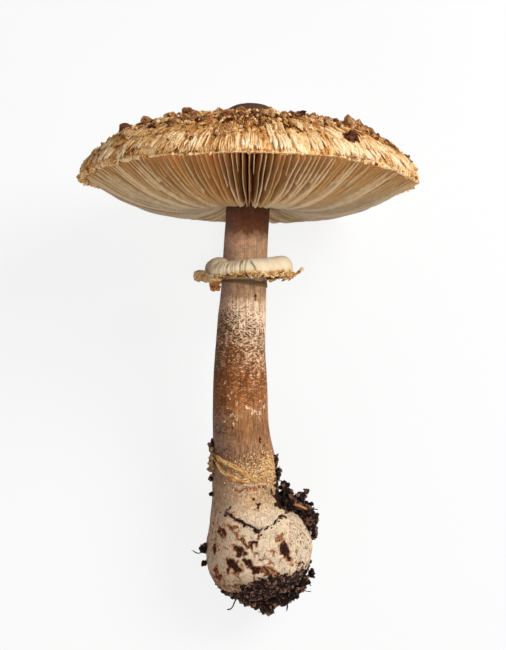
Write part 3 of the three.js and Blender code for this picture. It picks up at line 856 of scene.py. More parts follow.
# %% The course of the stem
STEM = [  # height, lean towards +X, radius
    (38, -0.9, 15.9), (46, -1.7, 14.9), (58.5, -2.3, 14.4), (66, -2.8, 13.6), (74, -3.6, 12.6),
    (95, -4.3, 11.9), (117, -4.0, 10.8), (136, -2.9, 10.1), (155, -2.0, 9.7), (177, -0.8, 9.4),
    (191.9, -0.4, 9.3),
]
FOOT, FOOT_DEPTH, FOOT_REACH = 38.0, 12.0, 6.5
BULB_RADIUS = 22.9
BULB_CENTRE = np.array([4.1, 0, 23.8])
BULB_SWELLINGS = [  # direction, height and sharpness
    ((-0.72, -0.2, -0.67), 2.6, 5),
    ((0.9, -0.3, 0.3), 1.2, 4),
    ((0, 0, -1), -0.9, 3),
]


def foot_reach(height):
    """How far back (or, below 0, forward) the stem's axis lies: its foot leans out over the bulb."""
    return -FOOT_REACH * ramp(60 - height, 0, 28)


def on_stem(degrees, height, out):
    """A point at an angle round the stem, in degrees from the front towards the right."""
    lean, radius = np.moveaxis(through(STEM, np.asarray(height, float)), -1, 0)
    turn = np.radians(degrees)
    x = lean + (radius + out) * np.sin(turn)
    return spot(x, foot_reach(height) - (radius + out) * np.cos(turn), height)


def bulb_radius(way):
    """The ball's radius in a direction: swellings fall off as exp(sharpness (cosine - 1))."""
    radius = BULB_RADIUS
    for direction, high, sharp in BULB_SWELLINGS:
        radius = radius + high * np.exp(sharp * (way @ unit(np.array(direction)) - 1))
    return radius


def ray_to_circle(start, centre, radius, angle):
    """How far a level ray runs from a start to where it leaves a circle; 0 where it misses it."""
    x, y = start[0] - centre[0], start[1] - centre[1]
    along = x * np.cos(angle) + y * np.sin(angle)
    reach = along**2 - x**2 - y**2 + radius**2
    return np.where(reach > 0, np.sqrt(np.maximum(reach, 0)) - along, 0)


# %% Rays to the surface
STEM_COLUMNS = 250
angle = full_turn(STEM_COLUMNS)
low = np.linspace(-np.pi / 2, 0, 64)[1:-1, None]
low_way = spot(np.cos(low) * np.cos(angle), np.cos(low) * np.sin(angle), np.sin(low))
low_points = BULB_CENTRE + bulb_radius(low_way)[..., None] * low_way

high = np.linspace(BULB_CENTRE[2], STEM[-1][0], 304)[:, None]
lean, radius = np.moveaxis(through(STEM, high[:, 0]), -1, 0)[:, :, None]
rounding = np.sqrt(np.clip(1 - (np.clip(FOOT - high, 0, FOOT_DEPTH) / FOOT_DEPTH) ** 2, 0, 1))
to_stem = ramp(high, 48, 78)
start = (BULB_CENTRE[0] * (1 - to_stem) + lean * to_stem, foot_reach(high) * to_stem)
stem_reach = ray_to_circle(start, (lean, foot_reach(high)), radius * rounding, angle)
slice_radius = BULB_RADIUS
for _ in range(3):
    slice_now = np.sqrt(np.clip(slice_radius**2 - (high - BULB_CENTRE[2]) ** 2, 0, None))
    bulb_reach = ray_to_circle(start, BULB_CENTRE, slice_now, angle)
    way = spot(start[0] + bulb_reach * np.cos(angle), start[1] + bulb_reach * np.sin(angle), high)
    way = way - BULB_CENTRE
    slice_radius = bulb_radius(way / np.maximum(np.linalg.norm(way, axis=-1, keepdims=True), 1))
apart = bulb_reach - stem_reach
blend = 5 + 15 * ramp(-np.cos(angle), 0.1, 0.8)  # on the left the stem runs into the bulb unbroken
reach = (bulb_reach + stem_reach + np.sqrt(apart**2 + blend)) / 2
high_points = spot(start[0] + reach * np.cos(angle), start[1] + reach * np.sin(angle), high)
smooth_stem = np.concatenate([low_points, high_points])
print("stem and bulb:", smooth_stem.shape[:2], "rows and columns")

# %% [markdown]
# The stem's brown skin tore too, as the stem grew longer, into the snakeskin that parasols are known
# for: short strokes that slant one way or the other, dense below and dying out towards the ring.
# Their noise lives in the material, on two sets of coordinates that wind round the stem as a left
# and a right screw; how much of the stem they cover depends on the height. The bulb's spots are a
# short list of places. In front, a V-shaped crease parts the foot of the stem from the bulb.

# %% Crease, snakeskin and spots
CREASE = [(-13, 41), (-9.7, 38.9), (-3.2, 35.1), (4, 31.2), (8.9, 32.9), (14.9, 38.3), (18, 43)]  # x, height
COVER = [  # height, share of the stem that brown strokes cover
    (0, 0), (38, 0), (43, 0.12), (48, 0.24), (56, 0.46), (65, 0.4), (70, 0.14), (84, 0.16), (89, 0.5),
    (96, 0.64), (104, 0.62), (112, 0.55), (120, 0.47), (127, 0.33), (133, 0.15), (139, 0.03), (192, 0),
]
BULB_SPOTS = [  # x, height, half width, half height, and how dark, on the front of the bulb
    (-3.2, 26.1, 2.6, 0.7, 0.6), (-4.6, 22.2, 2.4, 1.7, 0.8), (1.1, 23.9, 0.9, 1.3, 0.9),
    (-7.5, 15.6, 2.4, 2.3, 1.0), (0, 16.9, 1.8, 1.4, 0.9), (2.4, 12.4, 1.5, 1.7, 1.0),
    (6.0, 13.4, 2.6, 1.1, 0.5), (14.0, 27.4, 2.1, 1.1, 0.4), (15.8, 21.6, 1.6, 3.1, 1.0),
    (10.4, 21.6, 1.7, 0.6, 0.4), (5.0, 18.8, 1.5, 0.6, 0.5), (9.0, 17.4, 1.4, 1.0, 0.4),
    (21.4, 15.5, 1.0, 1.0, 0.7), (-13.0, 30.2, 1.3, 1.4, 0.8), (4.0, 42.6, 1.0, 1.8, 0.9),
    (-8.1, 32.9, 1.5, 1.2, 0.5), (3.4, 28.8, 0.8, 0.8, 1.0), (-16, 23.2, 1.1, 1.2, 1.0),
    (-6.4, 29.2, 1.8, 0.8, 0.4), (11.6, 12.0, 1.6, 0.9, 0.6), (-14.6, 12.2, 1.0, 1.8, 0.7),
    (1.8, 136.8, 0.8, 0.9, 0.9), (5.4, 72, 0.6, 0.8, 0.9), (6.3, 65, 0.6, 0.7, 0.9),
]
SOIL_SMEARS = [  # x, height, half width, half height, how dark
    (11.6, 52, 0.6, 2.6, 1), (12, 47, 1.4, 2.4, 1), (14, 43.6, 2.0, 1.4, 1), (17.4, 41.2, 1.6, 1.2, 1),
    (13.2, 37.0, 1.7, 0.8, 1), (-9.5, 40.3, 1.2, 0.6, 0.8), (-13.5, 38.6, 0.8, 0.6, 0.7),
]
SOIL_EDGE = [  # x, height up to which soil covers the bulb
    (-20, 9), (-16, 6.6), (-12, 4.6), (-8, 3.4), (-3, 5.4), (5, 9.2), (12, 10), (19, 11.5), (24, 15),
    (28, 17),
]
BARE_PATCHES = [  # x, height, half width, half height: where the skin is torn off down to pale flesh
    (-7.8, 94, 0.5, 1.0), (-6.4, 88.5, 0.4, 1.6), (2.4, 84.2, 1.5, 0.7), (-0.6, 86.2, 1.4, 0.4),
    (3.8, 82, 0.45, 1.1), (-9.6, 91, 0.35, 0.8), (-10.4, 86, 0.3, 0.8), (-8, 83.6, 0.35, 0.7),
    (-5.4, 82, 0.4, 1.4), (-11.5, 97, 0.3, 0.6), (4.6, 89.4, 1.6, 0.3), (5.8, 87.4, 1.2, 0.3),
    (-12, 80, 0.3, 0.9), (-7, 79, 0.3, 0.9), (6.8, 92, 1.0, 0.3),
]
x, y, z = np.moveaxis(smooth_stem, -1, 0)
turn = np.broadcast_to(angle, z.shape)
in_front = ramp(y, 2, -6)
bulb_share = ramp(z, 44, 34)


EYE_AWAY, EYE_UP = 500, 124


def from_front(points):
    """Places across and up as the camera sees them: what lies nearer than the stem's axis looks
    larger by EYE_AWAY / (EYE_AWAY + y)."""
    x, y, z = np.moveaxis(points, -1, 0)
    larger = EYE_AWAY / (EYE_AWAY + y)
    return x * larger, EYE_UP + (z - EYE_UP) * larger


seen_x, seen_z = from_front(smooth_stem)


def near_places(places, wander, slant):
    """1 within an ellipse of each place, falling to 0 at twice its size, on wandering coordinates
    that fall by slant for each step to the right."""
    bend_x = seen_x + wander * noise(smooth_stem / 1.6, 55)
    bend_z = seen_z + wander * noise(smooth_stem / 1.6, 56)
    nearness = np.zeros_like(z)
    for place_x, place_z, wide, tall, *dark in places:
        away = np.hypot((bend_x - place_x) / wide, (bend_z - place_z + slant * (seen_x - place_x)) / tall)
        nearness = np.maximum(nearness, (dark or [1])[0] ** 0.5 * np.clip(2 - away, 0, 1) * (y < 4))
    return nearness


spots = near_places(BULB_SPOTS, 2.3, 0.4)
bare = near_places(BARE_PATCHES, 1.9, 0)
behind = ramp(y, -6, 8) * bulb_share
blotches = behind * ramp(rough(smooth_stem * [0.26, 0.26, 0.5], 57, 4), 0.3, 0.6)
to_right = np.cos(turn)
on_left = ramp(-to_right, -0.1, 0.5)
uneven_cover = [  # how much more is covered, where round the stem, and between which four heights
    (0.1, noise(ring_place(turn, z, 9, 12), 54), 40, 60, 128, 140),
    (0.14, on_left, 98, 108, 128, 137), (0.26, on_left, 70, 78, 86, 92), (-0.3, on_left, 42, 52, 60, 66),
    (-0.06, ramp(to_right, -0.2, 0.4), 90, 98, 130, 138), (-0.03, ramp(to_right, 0.05, 0.6), 45, 51, 69, 76),
]
cover = through(COVER, z)
for share, side, none, full, last, gone in uneven_cover:
    cover = cover + share * side * ramp(z, none, full) * ramp(z, gone, last)
stroke_limit = 0.96 - 0.38 * cover  # noise above it is brown: its values spread about 0.12 round 0.78
to_crease = seen_z - listed(seen_x, CREASE) + 1.6 * rough(smooth_stem / 3.0, 69)
beside_crease = in_front * ramp(x, -13, -8) * ramp(x, 19, 15)
crease = bell(to_crease, 0.55) * beside_crease
lip = ramp(to_crease, -0.4, 1.4) * np.exp(-np.maximum(to_crease, 0) / 6) * beside_crease
crease_width = 0.6 + 0.7 * ramp(x, 4, -1)
soiled = bell(to_crease + 0.4, crease_width) * beside_crease
soiled = soiled * ramp(rough(smooth_stem / 2.0, 64) + 0.12 + 0.48 * ramp(x, 5, 0), -0.4, 0.4)
rusty = 0.75 * bell(to_crease + 0.6, 1.3) * beside_crease * ramp(x, 6, 0)
soil_edge = listed(seen_x, SOIL_EDGE) + 2.2 * rough(smooth_stem / 2.8, 66)
crusted = ramp(soil_edge - seen_z, -0.5, 1.5) * ramp(y, 6, 0)
soiled = reduce(np.maximum, [soiled, crusted, near_places(SOIL_SMEARS, 2.0, 0)])
ridge_line = 53.7 + 1.3 * noise(spot(x / 2.2, 0.0, 0.0), 65) - 0.05 * x
across_foot = ramp(x, -9, -6) * ramp(x, 9, 6) * in_front
ridge = (bell(z - ridge_line, 0.8) + bell(z - ridge_line + 2.9, 0.5)) * across_foot
under_ridge = bell(z - ridge_line + 1.6, 0.7) * across_foot
spots = reduce(np.maximum, [spots, blotches, rusty, 0.7 * under_ridge])
bare = np.maximum(bare, 0.9 * ridge)
# The left side of the stem, away from the key lamp, is darkened and greyed: partly dirt and partly painted
# shade.
left_dirt_and_shade = ramp(-to_right, 0.2, 1.0) * (0.7 + 0.2 * ramp(z, 40, 80)) * ramp(z, 180, 150)
near_soil = np.maximum(0.34 * ramp(x, 9, 21) * ramp(z, 46, 38), ramp(z, 19, 9))
near_soil = near_soil + 0.6 * ramp(-x, 6, 16) * ramp(z, 22, 30)
speckled = 0.2 * ramp(z, 60, 48) + 0.22 * ramp(z, 43, 36) + 0.6 * near_soil * ramp(z, 60, 50)
speckled = np.clip(speckled, 0, 1)

# %% [markdown]
# The relief is low: fibres along the stem, broad hollows, lumps on the bulb, and two torn ridges of
# skin, one below the other, that cross the foot.

# %% The surface with its relief
GIRTH_RADIUS = 11.0
fibres = rough(ring_place(turn, z, 130, 11), 60)
level_way = np.broadcast_to(round_about(1, angle, 0.0), high_points.shape)
out_way = np.concatenate([low_way, level_way])
lift = 0.1 * fibres * ramp(z, 40, 60) * ramp(z, 192, 170) + 0.8 * ridge
lumps = 0.5 * rough(smooth_stem / 9, 61) + 0.22 * rough(smooth_stem / 1.9, 62)
lift = lift + bulb_share * lumps - 0.3 * spots
lift = lift + 0.25 * rough(smooth_stem / [7, 7, 16], 63) * ramp(z, 44, 56) + 1.1 * lip - 0.5 * crease
lift = lift + 0.12 * bare
stem_surface = smooth_stem + lift[..., None] * out_way
stem_poles = np.array([BULB_CENTRE - [0, 0, bulb_radius(np.array([0, 0, -1.0]))], [-0.4, 0, 191.9]])
stem_points = np.concatenate([stem_surface.reshape(-1, 3), stem_poles])
stem_faces = closed_faces(len(stem_surface), STEM_COLUMNS)


def over_stem(values):
    """A mask over the whole piece: its grid of points and the two poles."""
    return np.concatenate([values.ravel(), [0, 0]])


def wound(points, hand):
    """Coordinates that follow a screw round the stem: the turn grows by 1.7 hand * height / girth
    radius, so that noise in them is drawn out along lines that slant at 30 degrees."""
    x, y, z = np.moveaxis(points, -1, 0)
    screw = np.arctan2(y, x - np.interp(z, *np.transpose(STEM)[:2])) + 1.7 * hand * z / GIRTH_RADIUS
    return spot(GIRTH_RADIUS * np.cos(screw), GIRTH_RADIUS * np.sin(screw), 1.1 * z)


# %% Stem skin
stem_masks = {
    "stroke_limit": stroke_limit, "spot": spots, "bare": bare, "soiled": soiled,
    "left_dirt_and_shade": left_dirt_and_shade, "speckled": speckled,
}
GRAINS = [(1.7, 4, 0.65), (0.2, 4, 0.6), (0.45, 1, 0.5), (0.5, 6, 0.78), (0.85, 3, 0.6)]
stem_finish, add, stem, grown, fine, blur, patch, smear, speck, *shown = tissue(
    "torn stem skin", 0.8, GRAINS, stem_masks, Specular_IOR_Level=0.1
)
masks = dict(zip(stem_masks, shown))
length = add("SeparateXYZ", [grown], out="Z")
along = add("Mapping", {"Vector": grown, "Scale": (1.7, 1.7, 0.07)})
fibre = add("TexNoise", {"Vector": along, "Scale": 1.0, "Detail": 5, "Roughness": 0.7})
stroke_left, stroke_right = (
    add("TexNoise", {
        "Vector": add("Attribute", out="Vector", attribute_name=screw),
        "Scale": 0.9, "Detail": 3, "Roughness": 0.62,
    })
    for screw in ("left_screw", "right_screw")
)
hand = add("MapRange", [patch, 0.46, 0.54])
stroke = add("Mix", {0: hand, 2: stroke_left, 3: stroke_right})
grainy = add("MapRange", [length, 78, 66, 0, 0.7])
stroke = add("Mix", {0: grainy, 2: stroke, 3: fine})
stroke = add("Math", [fine, 0.55, stroke], **SUM)
over = add("Math", [stroke, masks["stroke_limit"]], operation="SUBTRACT")
fleck = add("MapRange", [over, -0.01, 0.022])

height = add("Math", [blur, 14.0, length], **SUM)
height = add("MapRange", [height, 7.0, 199.0])
# The base colour by height. Just below the ring (from 0.69 to 0.712) it darkens: painted shade of the ring.
# Just under the gills (from 0.838 to 0.922) it turns dark brown: painted shadow of the cap. Above that, the
# top seen between the gills turns bright orange: partly the flesh's paler colour there and partly painted
# light for the glow through the gills.
base = add("ValToRGB", [height], stops=[
    (0.03, "#dfb993"), (0.10, "#fbe1c1"), (0.21, "#fce0bc"), (0.24, "#e8c298"), (0.26, "#deb48a"),
    (0.31, "#e0b483"), (0.34, "#c0906a"), (0.40, "#a4724a"), (0.46, "#c68c5c"), (0.51, "#e8ae80"),
    (0.57, "#f8cca2"), (0.65, "#fbd6b2"), (0.69, "#f8d2ae"), (0.712, "#b48c68"), (0.78, "#cba380"),
    (0.838, "#d4a480"), (0.86, "#7c4e34"), (0.88, "#6a3f29"), (0.922, "#4f2d1b"), (0.94, "#b4643e"),
    (0.96, "#ffa683"),
])
brown = add("ValToRGB", [height], stops=[
    (0.2, "#9a602a"), (0.3, "#7d4b22"), (0.4, "#613a22"), (0.46, "#a25f30"), (0.55, "#884f28"),
    (0.66, "#66401f"),
])
# On the left the colour is darkened and greyed, and dark fibre streaks show: partly dirt and partly painted
# shade.
base = add("Mix", {0: masks["left_dirt_and_shade"], 6: base, 7: "#dcc4b8"}, blend_type="MULTIPLY", **COLOUR)
greyed = add("Math", [masks["left_dirt_and_shade"], 0.5], **PRODUCT)
base = add("Mix", {0: greyed, 6: base, 7: "#bca69a"}, **COLOUR)
brown = add("Mix", {0: greyed, 6: brown, 7: "#2c1a12"}, **COLOUR)
streak = add("MapRange", [fibre, 0.48, 0.6, 0, 0.75])
streak = add("Math", [streak, masks["left_dirt_and_shade"]], **PRODUCT)
bare_here = add("Math", [fine, 2.0, masks["bare"]], **SUM)
bare_here = add("MapRange", [bare_here, 1.6, 1.9, 0, 0.9])
light = add("MapRange", [fibre, 0.37, 0.63, 0.5, 1.36])
fibrous = add("MapRange", [length, 26, 50, 0.25])
smooth = add("MapRange", [length, 130, 152, 1, 0.45])
fibrous = add("Math", [fibrous, smooth], **PRODUCT)
light = add("Mix", {0: fibrous, 2: 1.0, 3: light})
shade = add("MapRange", [fine, 0.3, 0.7, 0.74, 1.24])
light = add("Math", [light, shade], **PRODUCT)
shade = add("MapRange", [blur, 0.3, 0.7, 0.8, 1.2])
light = add("Math", [light, shade], **PRODUCT)

# %% [markdown]
# The bulb is stained: rusty halos round the spots, smears of earth, and specks. Each is one threshold
# on noise, which the masks raise or lower. Then all the layers are laid over the base in turn.

# %% Stains and specks
ragged = add("Math", [fine, 2.2, masks["spot"]], **SUM)
halo = add("Math", [blur, 1.6, masks["spot"]], **SUM)
halo = add("MapRange", [halo, 0.92, 1.45, 0, 0.85])
mottle = add("MapRange", [smear, 0.38, 0.62, 0.78, 1.2])
smear = add("Math", [masks["speckled"], 0.16, smear], **SUM)
smear = add("MapRange", [smear, 0.63, 0.7, 0, 0.85])
core = add("MapRange", [ragged, 1.68, 1.8])
core_shade = add("MapRange", [ragged, 1.68, 2.3])
stops = [(0.0, "#8a4218"), (0.25, "#582c16"), (0.5, "#271610")]
core_colour = add("ValToRGB", [core_shade], stops=stops)
speck = add("Math", [masks["speckled"], 0.2, speck], **SUM)
speck = add("MapRange", [speck, 0.72, 0.76])
soil_here = add("Math", [fine, 1.8, masks["soiled"]], **SUM)
soil_here = add("MapRange", [soil_here, 1.4, 1.6])
soil_colour = add("ValToRGB", [smear], stops=[(0.0, "#1c100b"), (0.8, "#573a2d")])
soil_colour = add("Mix", {0: fine, 6: soil_colour, 7: "#4a2f24"}, **COLOUR)
layers = [
    (fleck, brown), (streak, "#58412f"), (bare_here, "#ffdcba"), (1.0, light), (halo, "#b26c36"),
    (1.0, mottle), (smear, "#94602f"), (core, core_colour), (speck, "#663a1c"), (soil_here, soil_colour),
]
colour = base
for share, paint in layers:
    blend = "MIX"
    if share == 1.0:  # the light and the mottle aren't colours but levels that darken or lighten
        paint, blend = add("CombineXYZ", [paint] * 3), "MULTIPLY"
    sockets = {0: share, 6: colour, 7: paint}
    colour = add("Mix", sockets, into=stem["Base Color"], blend_type=blend, **COLOUR)
both = add("Math", [fibre, 1.0, fine], **SUM)
both = add("Math", [fleck, 0.5, both], **SUM)
both = add("Math", [smear, 0.4, both], **SUM)
add("Bump", {"Height": both, "Distance": 0.0004, "Strength": 0.8}, into=stem["Normal"])
piece(
    "stem_and_bulb", stem_points, stem_faces, stem_finish, "stem_skin", ["stem"],
    left_screw=wound(stem_points, -1), right_screw=wound(stem_points, 1),
    **{name: over_stem(values) for name, values in stem_masks.items()},
)

# %% [markdown]
# ## The ring
#
# The ring is what is left of the veil that joined the young cap's rim to the stem: a soft, double
# collar. It is one closed section, carried round the stem: a sleeve on the stem, a shelf that flares
# outwards, and a cuff rolled over to a torn, golden-brown lower edge. Wrinkles run down the cuff in
# front, and a crack crosses it.

# %% The collar
RING_CENTRE = np.array([-0.7, 0, 150])
RING_SECTION = [  # distance from the stem's axis, height
    (8, -8.4), (10.3, -8.4), (10.2, -5), (12.4, -3.5), (16, -2.4), (18.2, -4.2), (19.6, -4.2),
    (20.1, -1), (19.4, 2), (17, 3.7), (12.5, 3.2), (8, 2.4),
]
SLEEVE_LEAN = 1.9
COLLAR_TOP = [  # cosine of the place round the stem, how far the collar's top is raised there
    (-1, 1.6), (-0.93, 1.2), (-0.8, -1.6), (-0.5, -2.2), (-0.2, -1.9), (0.1, -1.3), (0.5, -0.7), (1, 0.1),
]
RING_ROWS, RING_COLUMNS = 54, 540
corners = np.array(RING_SECTION + RING_SECTION[:1], float)
place = travelled(*np.diff(corners, axis=0).T)
around_section = np.linspace(0, place[-1], RING_ROWS, endpoint=False)
section = through(np.column_stack([place, corners]), around_section)
out, up = section[:, :1], section[:, 1:]
angle = full_turn(RING_COLUMNS)
to_right = np.cos(angle)
outer = ramp(out, 12, 19)
lower_edge = np.exp(-(((out - 19) / 2.2) ** 2) - ((up + 4.3) / 1.5) ** 2)
torn = rough(ring_place(angle, up, 56, 2.5), 71)
slow = noise(ring_place(angle, 0, 13, 1), 72)
front = ramp(-np.sin(angle), 0.2, 0.7)
fold = noise(ring_place(angle, up, 170, 14), 73) + 0.25 * noise(ring_place(angle, up, 200, 6), 75)
fold = np.abs(fold)
wrinkle = 0.5 - 1.5 * bell(fold, 0.2)
wrinkle = wrinkle * ramp(to_right, 0.08, -0.12) * ramp(to_right, -0.95, -0.6) * front * outer
crack_at = 0.07 + 0.055 * (2 - up) / 3  # the crack leans as it goes down: cosine of its angle
crack = bell(to_right - crack_at, 0.02) * front * ramp(out, 14, 17) * ramp(up, 3.6, 2)
swell = 0.5 * outer * slow + 0.3 * outer * noise(ring_place(angle, up, 24, 9), 74)
radius = out + swell + 0.5 * wrinkle - 0.6 * crack + 0.9 * lower_edge * torn
droop = outer * (0.9 * to_right + 0.5 * slow - 0.4) - 1.2 * to_right * ramp(-up, 5, 9)
dip = listed(to_right, COLLAR_TOP) * (0.5 + 0.5 * front) * ramp(up, -2, 2) * ramp(out, 9, 13)
height = up + droop + dip + 0.25 * wrinkle + lower_edge * (0.9 * torn - 0.4)
collar = round_about(radius, angle, height) + RING_CENTRE
collar[..., 0] -= SLEEVE_LEAN * ramp(-up, 2, 5) * ramp(out, 16, 12)  # the sleeve follows the stem
sleeve = ramp(-up, 5, 6.5) + 0 * angle
frayed = noise(ring_place(angle, up, 110, 2.5), 76)
edge_and_shade_mask = np.clip(lower_edge * (1.5 + 0.8 * frayed) + ramp(-up, 3.2, 4.6) * ramp(out, 14, 17), 0, 1)
dark = [crack * ramp(up, -4.6, -3), 0.45 * edge_and_shade_mask * ramp(torn, -0.9, 0.6)]
collar_faces = halved(grid_faces(RING_ROWS, RING_COLUMNS, close_rows=True))
# Under the shelf, just inside the torn edge: the band where the edge's shadow is painted.
underside = ramp(-up, 1.2, 2.0) * ramp(out, 18.6, 17.6) * ramp(-up, 6.5, 5.0)
# The sleeve and the shelf's underside take the torn edge's golden brown: painted shade under the collar.
edge_and_shade_mask = reduce(np.maximum, [edge_and_shade_mask, 0.9 * sleeve, underside])
# Darker still: the shelf's underside (painted shadow of the edge above it), the sleeve, most at its top
# (painted shade under the collar), and the grooves of the wrinkles (painted shade in the folds). The crack
# and the torn edge are darker in their own colour.
dark += [0.5 * underside, (0.62 - 0.22 * ramp(-up, 6, 8.4)) * sleeve, 0.42 * np.clip(-wrinkle, 0, 1)]
dark = reduce(np.maximum, dark)
collar_cloud = (
    collar.reshape(-1, 3), collar_faces, dark.ravel(), np.broadcast_to(edge_and_shade_mask, dark.shape).ravel(),
)

# %% [markdown]
# Small pieces hang on the collar: a roll of torn veil on the left, the flap under it, a spur with a
# knob on the right, and golden crumbs all along the lower edge.


# %% Threads and tubes
def tube(course, radius, steps, sides, seed, uneven):
    """A round tube along a smooth curve through points. At each step, two directions across the
    curve come from cross products with a fixed one, and the radius varies with noise. Returns points,
    faces, one number for all of its points, and each point's share of that noise."""
    course = np.asarray(course, float)
    place = np.concatenate([[0], np.cumsum(np.linalg.norm(np.diff(course, axis=0), axis=1))])
    line = through(np.column_stack([place, course]), np.linspace(0, place[-1], steps))
    ahead = unit(np.gradient(line, axis=0))
    aside = unit(np.cross(ahead, [0.31, 0.77, 0.55]))
    beyond = np.cross(ahead, aside)
    turn = full_turn(sides)[..., None]
    way = np.cos(turn) * aside[:, None] + np.sin(turn) * beyond[:, None]
    bumps = rough((line[:, None] + radius * way) / (2.5 * radius), seed)
    end = np.sqrt(np.clip(np.minimum(np.arange(steps), np.arange(steps)[::-1]) / 3, 0, 1))[:, None]
    thick = radius * (1 + uneven * bumps) * np.maximum(end, 0.05)
    points = np.concatenate([(line[:, None] + thick[..., None] * way).reshape(-1, 3), line[[0, -1]]])
    faces, *ends = closed_faces(steps, sides)
    number = np.full(len(points), float(lattice(np.array([seed, 1.0, 2.0]), 3)))
    return points, np.concatenate([halved(faces), *ends]), number, np.append(bumps.ravel(), [0, 0])


# %% Ring
draw = np.random.default_rng(77)
EDGE_CRUMBS = 620
at = np.radians(draw.uniform(0, 360, EDGE_CRUMBS))
ragged_at = rough(ring_place(at, 0 * at, 56, 1), 71)
edge_out = 19.4 + 0.6 * ragged_at + draw.normal(0, 0.4, len(at))
edge_up = -4.45 + 0.9 * np.cos(at) - 0.9 * ragged_at + np.clip(draw.normal(0, 0.7, len(at)), -1.4, 1.4)
edge_size = (0.25 + 0.6 * draw.uniform(0, 1, (EDGE_CRUMBS, 1)) ** 2) * [2.0, 0.6, 0.9]
edge_size = edge_size * (0.6 + 0.4 * ramp(np.cos(at), -0.3, 0.4))[:, None]
edge_crumbs = crumbs(round_about(edge_out, at, edge_up) + RING_CENTRE, edge_size, 1, 78, 0.85, 0.9)
ROLL = np.array([(-24.0, -5, 145.5), (-21, -7, 145.3), (-17.5, -9.5, 144.3), (-13, -12, 143.2)])
roll = tube(ROLL, 2.3, 60, 26, 80, 0.35)
roll_knobs = crumbs(
    np.array([-23.2, -7, 144.9]) + np.clip(draw.normal(0, 1, (50, 3)), -1.5, 1.5) * [0.9, 1.2, 1.2],
    (0.3 + 0.5 * draw.uniform(0, 1, (50, 1)) ** 2) * [1.5, 0.9, 0.8], 2, 81, 0.5,
)
lamellae = gathered(*[
    tube(ROLL + [0, -2.2 * np.cos(lean), 2.2 * np.sin(lean)], 0.5, 44, 7, 86 + k, 0.6)
    for k, lean in enumerate((1.4, 0.6, -0.1, -0.8))
])
flap = crumbs([(-17.0, -6.5, 142.8)], [(1.9, 1.2, 3.0)], 4, 82, 0.3, 0.2)
flap_knobs = crumbs(
    np.array([-15.4, -7, 140.6]) + np.clip(draw.normal(0, 1, (46, 3)), -1.6, 1.6) * [1.2, 0.9, 1.0],
    draw.uniform(0.35, 0.95, (46, 1)) * [1, 0.8, 1], 2, 83, 0.45,
)
spur_course = [(17.4, -4, 145.6), (19.6, -4.4, 145.8), (21.4, -4.6, 147.0), (22.9, -4.6, 148.0)]
spur = tube(spur_course, 0.62, 28, 9, 84, 0.6)
spur_knob = crumbs([(23.1, -4.6, 148.5)], [(0.95, 0.9, 1.15)], 3, 85, 0.2)
golden_parts = gathered(edge_crumbs, roll, roll_knobs, flap_knobs, spur)
golden_tone = 0.34 * golden_parts[2] + 0.3 * golden_parts[3] - 0.17
golden_parts = (*golden_parts[:2], golden_tone, np.ones(len(golden_parts[0])))
pale_knob = gathered(spur_knob, flap, lamellae)
pale_knob = (*pale_knob[:2], 0.25 * pale_knob[2], np.full(len(pale_knob[0]), 0.3))
points, faces, dark, torn_edge = gathered(collar_cloud, golden_parts, pale_knob)
from_flap = np.hypot((points[:, 0] + 15.2) / 3.2, (points[:, 2] - 139.6) / 3.6)
burnt = ramp(from_flap, 1.2, 0.8) * (points[:, 2] < 143)

ring_finish, add, veil, grown, grain, broad, dark_and_shade_mask, edge_and_shade_mask, burnt_mask, dull = tissue(
    "soft veil flesh", 0.85, [(1.5, 4, 0.65), (0.25, 2, 0.5)], ["dark", "torn_edge", "burnt", "dull"],
    Specular_IOR_Level=0.05,
)
colour = add("ValToRGB", [broad], stops=[(0.35, "#e6cfa8"), (0.65, "#f4e2c2")])
# The golden colour covers the torn edge and, as painted shade, the sleeve and the shelf's underside.
tone = add("Math", [grain, 1.1, dark_and_shade_mask], **SUM)
golden = add("ValToRGB", [tone], stops=[
    (0.45, "#f7e4bd"), (0.6, "#e3b777"), (0.75, "#c08a45"), (0.9, "#86551f"), (1.0, "#553310"),
])
crack_shown = add("Math", [edge_and_shade_mask, -1.0, dark_and_shade_mask], use_clamp=True, **SUM)
burnt_colour = add("ValToRGB", [grain], stops=[(0.35, "#8c4b1c"), (0.65, "#cf8a44")])
layers = [(edge_and_shade_mask, golden), (crack_shown, "#5d4226"), (burnt_mask, burnt_colour), (dull, "#907457")]
for share, paint in layers:
    colour = add("Mix", {0: share, 6: colour, 7: paint}, into=veil["Base Color"], **COLOUR)
add("Bump", {"Height": grain, "Distance": 0.0003, "Strength": 0.5}, into=veil["Normal"])
piece(
    "ring_collar", points, [faces], ring_finish, "ring_flesh", ["ring"],
    dark=dark, torn_edge=torn_edge, burnt=burnt,
    dull=0.5 * ramp(points[:, 0], -15.5, -18) * (1 - burnt),
)

# %% [markdown]
# ## Torn skin round the lower stem
#
# Where the stem swelled, its skin split into golden threads that cross it slantwise. Each strand is
# spun from a few thin tubes that wind round a common course.

# %% Strands
UPPER_STRAND = [  # degrees round the stem, height
    (-236, 57), (-205, 60.5), (-170, 63), (-130, 65.5), (-92, 67), (-63, 65.6), (-45, 64.2), (-30, 62.9),
    (-16, 61.4), (-2, 59.4), (11, 56.8), (26, 55.3),
]
MM_PER_DEGREE = 0.24  # round the stem, where its radius is about 13.8 mm
LOWER_STRAND = [(-70, 65.8), (-52, 62.6), (-42, 59.6), (-30, 58.2), (-20, 56.8), (-4, 55.6), (11, 56.4)]


